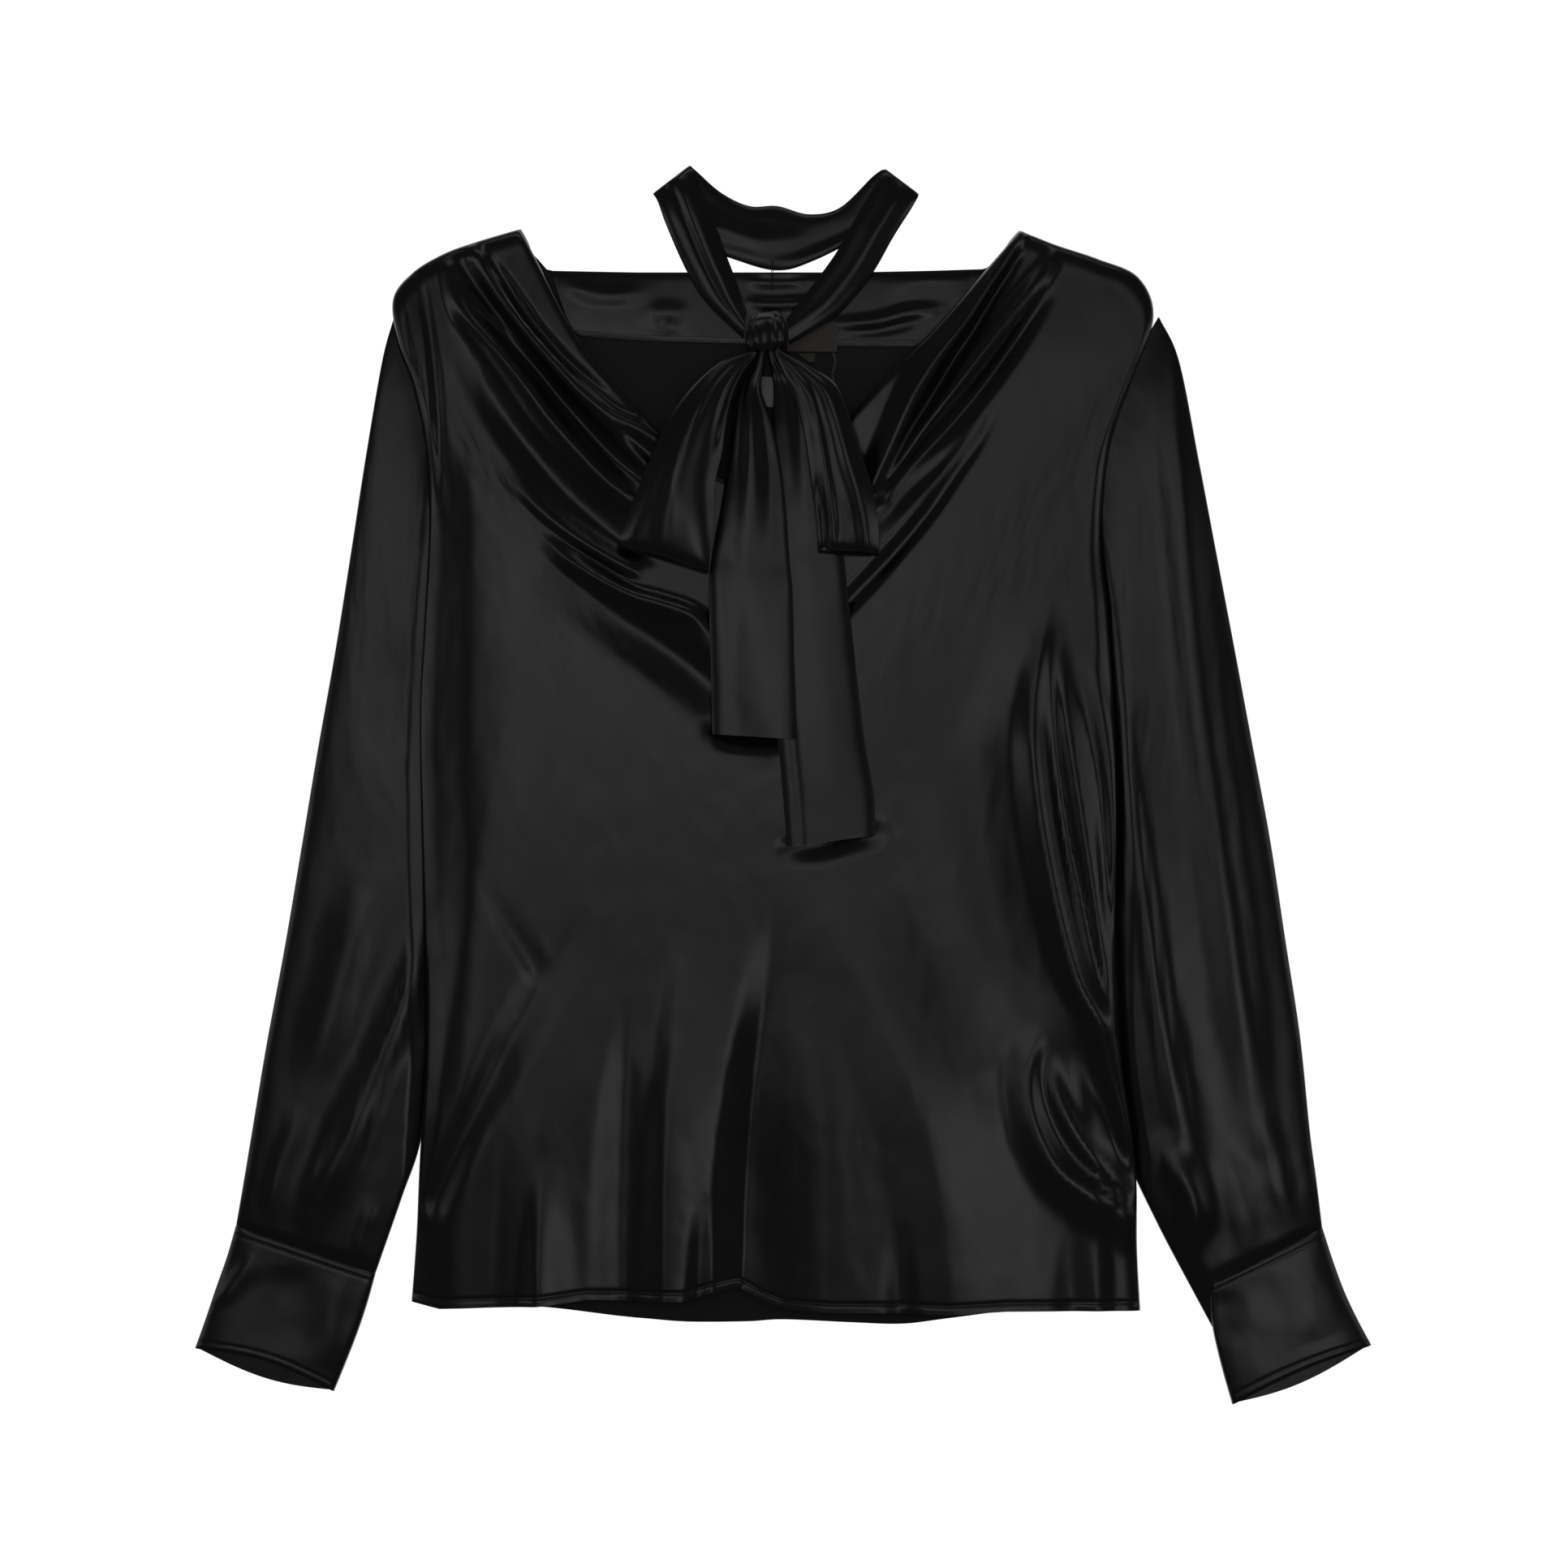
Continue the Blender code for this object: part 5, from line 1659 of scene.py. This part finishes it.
class Sash:
    """The neck sash: its loop behind the neck, its knot, two bow loops and two tails."""

    NECK_PLEATS = (
        Pleat(0.16, ((0.0, 0.5, 0.6), (0.06, 0.36, 1.3), (0.2, 0.34, 1.3), (0.27, 0.4, 0.0))),
        Pleat(0.08, ((0.0, 0.6, -0.4), (0.08, 0.56, -1.2), (0.2, 0.58, -1.4), (0.27, 0.6, 0.0))),
        Pleat(0.16, ((0.74, 0.6, 0.0), (0.8, 0.6, 1.0), (0.94, 0.6, 1.2), (1.0, 0.5, 0.6))),
        Pleat(0.20, ((0.34, 0.5, 0.0), (0.42, 0.55, 1.8), (0.48, 0.6, 1.6), (0.56, 0.5, 0.0))),
    )
    LOOP_PLEATS = {
        Hand.LEFT: (
            Pleat(0.13, ((0.0, 0.40, 0.6), (0.08, 0.30, 1.6), (0.2, 0.36, 1.8), (0.34, 0.42, 1.4),
                         (0.45, 0.46, 0.6), (0.5, 0.4, 0.0))),
            Pleat(0.06, ((0.0, 0.84, 0.0), (0.08, 0.80, -1.2), (0.2, 0.84, -1.4), (0.28, 0.88, 0.0))),
            Pleat(0.06, ((0.0, 0.94, 0.0), (0.10, 0.93, 1.6), (0.2, 0.95, 1.8), (0.28, 0.96, 0.0))),
        ),
        Hand.RIGHT: (
            Pleat(0.07, ((0.0, 0.3, 0.4), (0.08, 0.36, 1.4), (0.3, 0.26, 1.8), (0.46, 0.24, 1.0),
                         (0.5, 0.2, 0.0))),
            Pleat(0.07, ((0.3, 0.1, 0.0), (0.36, 0.10, -2.4), (0.47, 0.11, -2.4), (0.5, 0.1, 0.0))),
            Pleat(0.13, ((0.0, 0.7, 0.4), (0.08, 0.70, 1.6), (0.3, 0.70, 2.2), (0.46, 0.80, 1.6),
                         (0.5, 0.8, 0.0))),
        ),
    }
    TAIL_PLEATS = {
        Hand.LEFT: (
            Pleat(0.18, ((0.0, 0.5, 0.6), (0.12, 0.46, 2.8), (0.3, 0.44, 2.8), (0.5, 0.44, 1.5),
                         (0.7, 0.44, 0.5), (1.0, 0.45, 0.0))),
            Pleat(0.08, ((0.0, 0.2, 0.0), (0.12, 0.10, 1.0), (0.3, 0.06, 0.9), (0.5, 0.1, 0.0))),
            Pleat(0.14, ((0.0, 0.8, 0.0), (0.15, 0.80, -1.4), (0.35, 0.80, -1.6), (0.6, 0.8, -0.6),
                         (1.0, 0.8, 0.0))),
        ),
        Hand.RIGHT: (
            Pleat(0.18, ((0.0, 0.6, 0.4), (0.15, 0.62, 2.0), (0.35, 0.62, 1.6), (0.55, 0.6, 0.4),
                         (1.0, 0.6, 0.0))),
            Pleat(0.05, ((0.6, 0.2, 0.0), (0.75, 0.18, -0.6), (1.0, 0.16, -0.6))),
        ),
    }
    LOOP_TILTS = {Hand.LEFT: 6.0, Hand.RIGHT: -6.0}
    TAIL_TILTS = {Hand.LEFT: 3.4, Hand.RIGHT: 0.0}
    NECK_ROWS = 190
    LOOP_ROWS = 56
    TAIL_ROWS = {Hand.LEFT: 110, Hand.RIGHT: 136}
    # Lower layer of a loop: its rise to the knot, the share at which it starts, its length and its arch.
    LOWER_LAYER = (4.5, 0.75, 0.2, 0.3)

    def __init__(self, drape: FrontDrape) -> None:
        """Lay the sash over the given front."""
        self.drape = drape

    def loop_sections(self, hand: Hand) -> Array:
        """Sections of a bow loop: down from the knot, round the low fold and back up below itself.

        Args:
            hand: Side of the bow.

        Returns:
            Rows of the loop's table, then of its lower layer.
        """
        upper = smooth_rows(BOW_TABLES[hand], self.LOOP_ROWS)
        lower = upper[::-1].copy()
        floor = BOW_FLOORS[hand]
        rise, start, length, arch = self.LOWER_LAYER
        lower[:, 4] = floor + rise * ease((np.linspace(0.0, 1.0, self.LOOP_ROWS) - start) / length)
        lower[:, 5] = arch
        lower[0, 4] = (upper[-1, 4] + floor) / 2.0
        return np.concatenate((upper, lower[1:]))

    def build(self) -> None:
        """Make every piece of the sash."""
        neck = SashStrip(self.drape, "sash_neck_loop", smooth_rows(NECK_LOOP, self.NECK_ROWS),
                         self.NECK_PLEATS)
        neck.build()
        for hand in Hand:
            loop = SashStrip(self.drape, f"bow_loop_{hand.value}", self.loop_sections(hand),
                             self.LOOP_PLEATS[hand], tilt=self.LOOP_TILTS[hand])
            loop.build()
        for hand in Hand:
            tail = SashStrip(self.drape, f"sash_tail_{hand.value}",
                             smooth_rows(TAIL_TABLES[hand], self.TAIL_ROWS[hand]),
                             self.TAIL_PLEATS[hand], tilt=self.TAIL_TILTS[hand])
            tail.build()
        SashKnot().build()


@dataclass
class SashKnot(Dresser):
    """Wrap of the sash round the strips that pass through it."""

    rings: int = 40
    sides: int = 96
    folds: int = 9
    depth: float = 0.15
    twist: float = 1.6
    waist: float = 0.22
    bent: float = 0.75
    slant: float = 1.4

    def places(self) -> Array:
        """Grid of the wrap's middle, ring after ring.

        Returns:
            Rows of columns of x, y, z.
        """
        turn = np.linspace(0.0, 2.0 * math.pi, self.sides, endpoint=False)
        cosine, sine = np.cos(turn), np.sin(turn)
        grid = []
        for index, (y, left, right, low, high) in enumerate(smooth_rows(KNOT_RINGS, self.rings)):
            along = index / (self.rings - 1.0)
            pinch = 1.0 - self.depth * (1.0 - np.cos(self.folds * turn + self.twist * along)) / 2.0
            pinch = pinch * (1.0 - self.waist * abs(2.0 * along - 1.0) ** 3)
            x = (left + right) / 2.0 + pinch * (right - left) / 2.0 * squared(cosine, self.bent)
            z = (low + high) / 2.0 + pinch * (high - low) / 2.0 * squared(sine, self.bent)
            grid.append(np.stack((x, y + self.slant * cosine, np.maximum(z, low)), 1))
        return np.array(grid)

    def build(self) -> None:
        """Make the wrap."""
        knot = Cloth("sash_knot_cloth", self.places(), SASH_WALL, closed=True).make()
        self.dress(knot, SATIN.material("sash knot"), "sash", "sash_knot")


@dataclass(frozen=True)
class Patch:
    """Small four-cornered patch of tape.

    Attributes:
        name: Name of the object.
        node: CAD node that it replaces.
        slot: The record's slot for its finish.
        corners: Its corners x, y in turn.
        height: Its height above the floor.
        finish: What it is woven of.
        size: Width and height of the flat tape in metres; not used.
        area: Area of the flat tape in square metres; not used.
        wave: Height of its slight waves.
    """

    name: str
    node: str
    slot: str
    corners: Line
    height: float
    finish: WovenFinish
    size: tuple[float, float]
    area: float
    wall: float = 0.45
    steps: int = 18
    wave: float = 0.0


class Labels(Dresser):
    """The label patch, its small tab and the care label, all without any lettering."""

    PATCHES = (
        Patch("neck_label_patch", "neck_label", "label", ((2, 281), (33, 279), (32, 261.5), (2, 262)),
              FACING_TOP + 1.1, LABEL, (0.031, 0.0185), 0.00055, wave=0.15),
        Patch("size_tab_patch", "size_tab", "beige_tape",
              ((8, 261.0), (19, 261.0), (18.5, 255.5), (15, 255.5)),
              BACK_TOP + 0.8, BEIGE_TAPE, (0.011, 0.010), 0.00004),
        Patch("care_label_patch", "care_label", "white_tape", ((-17, 247), (-2, 246), (-3, 228), (-17, 229)),
              BACK_TOP + 0.7, WHITE_TAPE, (0.0155, 0.0185), 0.00026, wave=0.08),
    )

    def places(self, patch: Patch) -> Array:
        """Grid of one patch's middle, with slightly wavy cloth.

        Args:
            patch: The patch.

        Returns:
            Rows of columns of x, y, z.
        """
        a, b, c, d = (np.array(p, float) for p in patch.corners)
        shares = np.linspace(0.0, 1.0, patch.steps)
        grid = []
        for v in shares:
            left, right = a * (1 - v) + d * v, b * (1 - v) + c * v
            line = left + (right - left) * shares[:, None]
            z = patch.height + patch.wave * np.sin(shares * 7.0 + v * 2.0)
            grid.append(np.column_stack((line, z)))
        return np.array(grid)

    def build(self) -> None:
        """Make the three patches."""
        for patch in self.PATCHES:
            piece = Cloth(patch.name, self.places(patch), patch.wall).make()
            self.dress(piece, patch.finish.material(patch.name.replace("_", " ")), patch.slot, patch.node)


@dataclass
class Threads(Dresser):
    """The hanging chain of thread below the label, and the loop that holds the sash behind the neck."""

    link_length: float = 2.1
    link_width: float = 1.3
    yarn: float = 0.22
    links: int = 10
    end_room: float = 0.8
    chain_roll: float = 0.35
    loop_roll: float = 0.5

    def link(self, shape: bmesh.types.BMesh, place: Vector, way: Vector, roll: float) -> None:
        """Add one oval link of thread.

        Args:
            shape: Mesh that takes the link.
            place: Its middle.
            way: Direction of the chain.
            roll: Turn about the chain, in radians.
        """
        aside = Matrix.Translation((self.link_width * MM / 2.0, 0, 0))
        circle = bmesh.ops.create_circle(shape, segments=6, radius=self.yarn * MM,
                                         matrix=aside @ Matrix.Rotation(math.pi / 2, 4, "X"))
        edges = list(dict.fromkeys(edge for vert in circle["verts"] for edge in vert.link_edges))
        before = set(shape.verts) - set(circle["verts"])
        bmesh.ops.spin(shape, geom=circle["verts"] + edges, cent=(0, 0, 0), axis=(0, 0, 1), dvec=(0, 0, 0),
                       angle=2.0 * math.pi, steps=12, use_merge=True)
        fresh = [vert for vert in shape.verts if vert not in before]
        turn = way.to_track_quat("Y", "Z").to_matrix().to_4x4()
        stretch = Matrix.Diagonal((1.0, self.link_length / self.link_width, 1.0, 1.0))
        rolled = Matrix.Translation(place) @ turn @ Matrix.Rotation(roll, 4, "Y")
        bmesh.ops.transform(shape, verts=fresh, space=Matrix.Identity(4), matrix=rolled @ stretch)

    def chain(self) -> bpy.types.Object:
        """Chain of thread links, end over end.

        Returns:
            The new object.
        """
        line = smooth_rows(((30, 260.5, 3.6), (31, 255, 2.4), (29.5, 249, 2.0), (30, 243, 2.0)), 60)
        distance = distances(line)
        shape = bmesh.new()
        for index, at in enumerate(np.linspace(self.end_room, distance[-1] - self.end_room, self.links)):
            place, ahead = (Vector(at_distance(line, distance, at + more)) for more in (0.0, 0.5))
            self.link(shape, place * MM, ahead - place, self.chain_roll * (-1) ** (index + 1))
        return self.close("thread_chain_links", shape)

    def loop(self) -> bpy.types.Object:
        """Little loop of thread from the facing over the sash.

        Returns:
            The new object.
        """
        line = smooth_rows(((-7, 299, 3.2), (-7, 304, 3.6), (-7, 309, 5.5), (-7, 313, 5.5), (-7, 317, 4.4)),
                           9)
        shape = bmesh.new()
        for index, (start, end) in enumerate(zip(line[:-1], line[1:])):
            middle = Vector((start + end) / 2.0) * MM
            self.link(shape, middle, Vector(end - start), self.loop_roll * (-1) ** (index + 1))
        return self.close("back_loop_thread", shape)

    def close(self, name: str, shape: bmesh.types.BMesh) -> bpy.types.Object:
        """Turn a finished mesh of links into an object.

        Args:
            name: Name of the object.
            shape: The finished mesh.

        Returns:
            The new object.
        """
        bmesh.ops.recalc_face_normals(shape, faces=shape.faces)
        for face in shape.faces:
            face.smooth = True
        return add_object(name, shape)

    def build(self) -> None:
        """Make both threads."""
        self.dress(self.chain(), PALE_THREAD.material("thread chain"), "thread", "thread_chain")
        self.dress(self.loop(), BLACK_THREAD.material("back loop"), "thread", "back_loop")


@dataclass(frozen=True)
class Softbox:
    """Rectangular light that points at the blouse.

    Attributes:
        name: Name of the light.
        place: Its place in metres.
        size: Width and height in metres.
        glow: How bright its face looks, in watts per square metre and steradian.
    """

    name: str
    place: tuple[float, float, float]
    size: tuple[float, float]
    glow: float

    def hang(self) -> None:
        """Add the light to the scene."""
        data = bpy.data.lights.new(self.name, "AREA")
        data.shape = "RECTANGLE"
        data.size, data.size_y = self.size
        data.energy = self.glow * math.pi * self.size[0] * self.size[1]
        light = bpy.data.objects.new(self.name, data)
        light.location = self.place
        light.rotation_euler = (-Vector(self.place)).to_track_quat("-Z", "Y").to_euler()
        bpy.context.scene.collection.objects.link(light)


@dataclass
class Studio:
    """Pale floor, soft lights and the camera above the blouse."""

    SOFTBOXES = (
        Softbox("softbox over all", (0.0, -0.05, 3.2), (1.7, 1.7), 0.07),
        Softbox("softbox over left", (-0.48, 0.36, 3.1), (0.26, 1.22), 1.55),
        Softbox("softbox low left", (-0.66, -0.24, 3.1), (0.18, 0.34), 1.9),
        Softbox("softbox over neck", (0.0, 0.74, 3.1), (0.40, 0.36), 0.70),
        Softbox("softbox over right", (0.46, 0.56, 3.1), (0.40, 0.88), 0.72),
        Softbox("softbox low right", (0.60, -0.43, 3.1), (0.48, 0.66), 1.45),
        Softbox("softbox over left cuff", (-0.72, -0.55, 3.1), (0.18, 0.22), 1.0),
        Softbox("softbox left", (-2.2, 0.1, 1.35), (0.5, 2.0), 0.8),
        Softbox("softbox right", (2.2, 0.1, 1.35), (0.5, 2.0), 0.8),
        Softbox("softbox top", (0.0, 2.2, 1.4), (2.0, 0.5), 0.9),
    )
    AMBIENT = (0.06, 0.06, 0.06, 1.0)

    view_width: float = 0.9467
    lens: float = 100.0
    sensor: float = 36.0
    cloth_height: float = 0.010
    floor_size: float = 30.0
    floor_drop: float = 0.0002

    def floor(self) -> None:
        """Pale floor that stays white round the blouse."""
        shape = bmesh.new()
        bmesh.ops.create_grid(shape, x_segments=1, y_segments=1, size=self.floor_size / 2.0)
        floor = add_object("floor", shape)
        floor.location.z = -self.floor_drop
        graph = Graph("floor, white paper")
        paper = graph.noise(graph.node("ShaderNodeTexCoord").outputs["Object"], 2.0, 0.5)
        floor.data.materials.append(graph.finish({
            "Base Color": graph.blend(paper, (0.80, 0.80, 0.80), (0.84, 0.84, 0.84)),
            "Roughness": 0.9,
            "Emission Color": (1.0, 1.0, 1.0, 1.0),
            "Emission Strength": 0.95,
        }))

    def camera(self) -> None:
        """Camera straight above the middle of the blouse."""
        data = bpy.data.cameras.new("camera")
        data.lens = self.lens
        data.sensor_width = self.sensor
        camera = bpy.data.objects.new("camera", data)
        camera.location = (0.0, 0.0, self.view_width * self.lens / self.sensor + self.cloth_height)
        bpy.context.scene.collection.objects.link(camera)
        bpy.context.scene.camera = camera

    def build(self) -> None:
        """Set up the whole studio."""
        self.floor()
        for softbox in self.SOFTBOXES:
            softbox.hang()
        world = bpy.data.worlds.new("studio")
        world.use_nodes = True
        world.node_tree.nodes["Background"].inputs["Color"].default_value = self.AMBIENT
        bpy.context.scene.world = world
        bpy.context.scene.view_settings.view_transform = "Standard"
        self.camera()


def main() -> None:
    """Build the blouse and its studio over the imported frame."""
    logging.basicConfig(level=logging.INFO, format="%(message)s")
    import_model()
    drape = FrontDrape()
    FrontPanel(drape).build()
    BackPanel().build()
    NeckFacing().build()
    for hand in Hand:
        Sleeve.on(hand).build()
        Cuff.on(hand).build()
    Sash(drape).build()
    Labels().build()
    Threads().build()
    Studio().build()


if __name__ == "__main__":
    main()
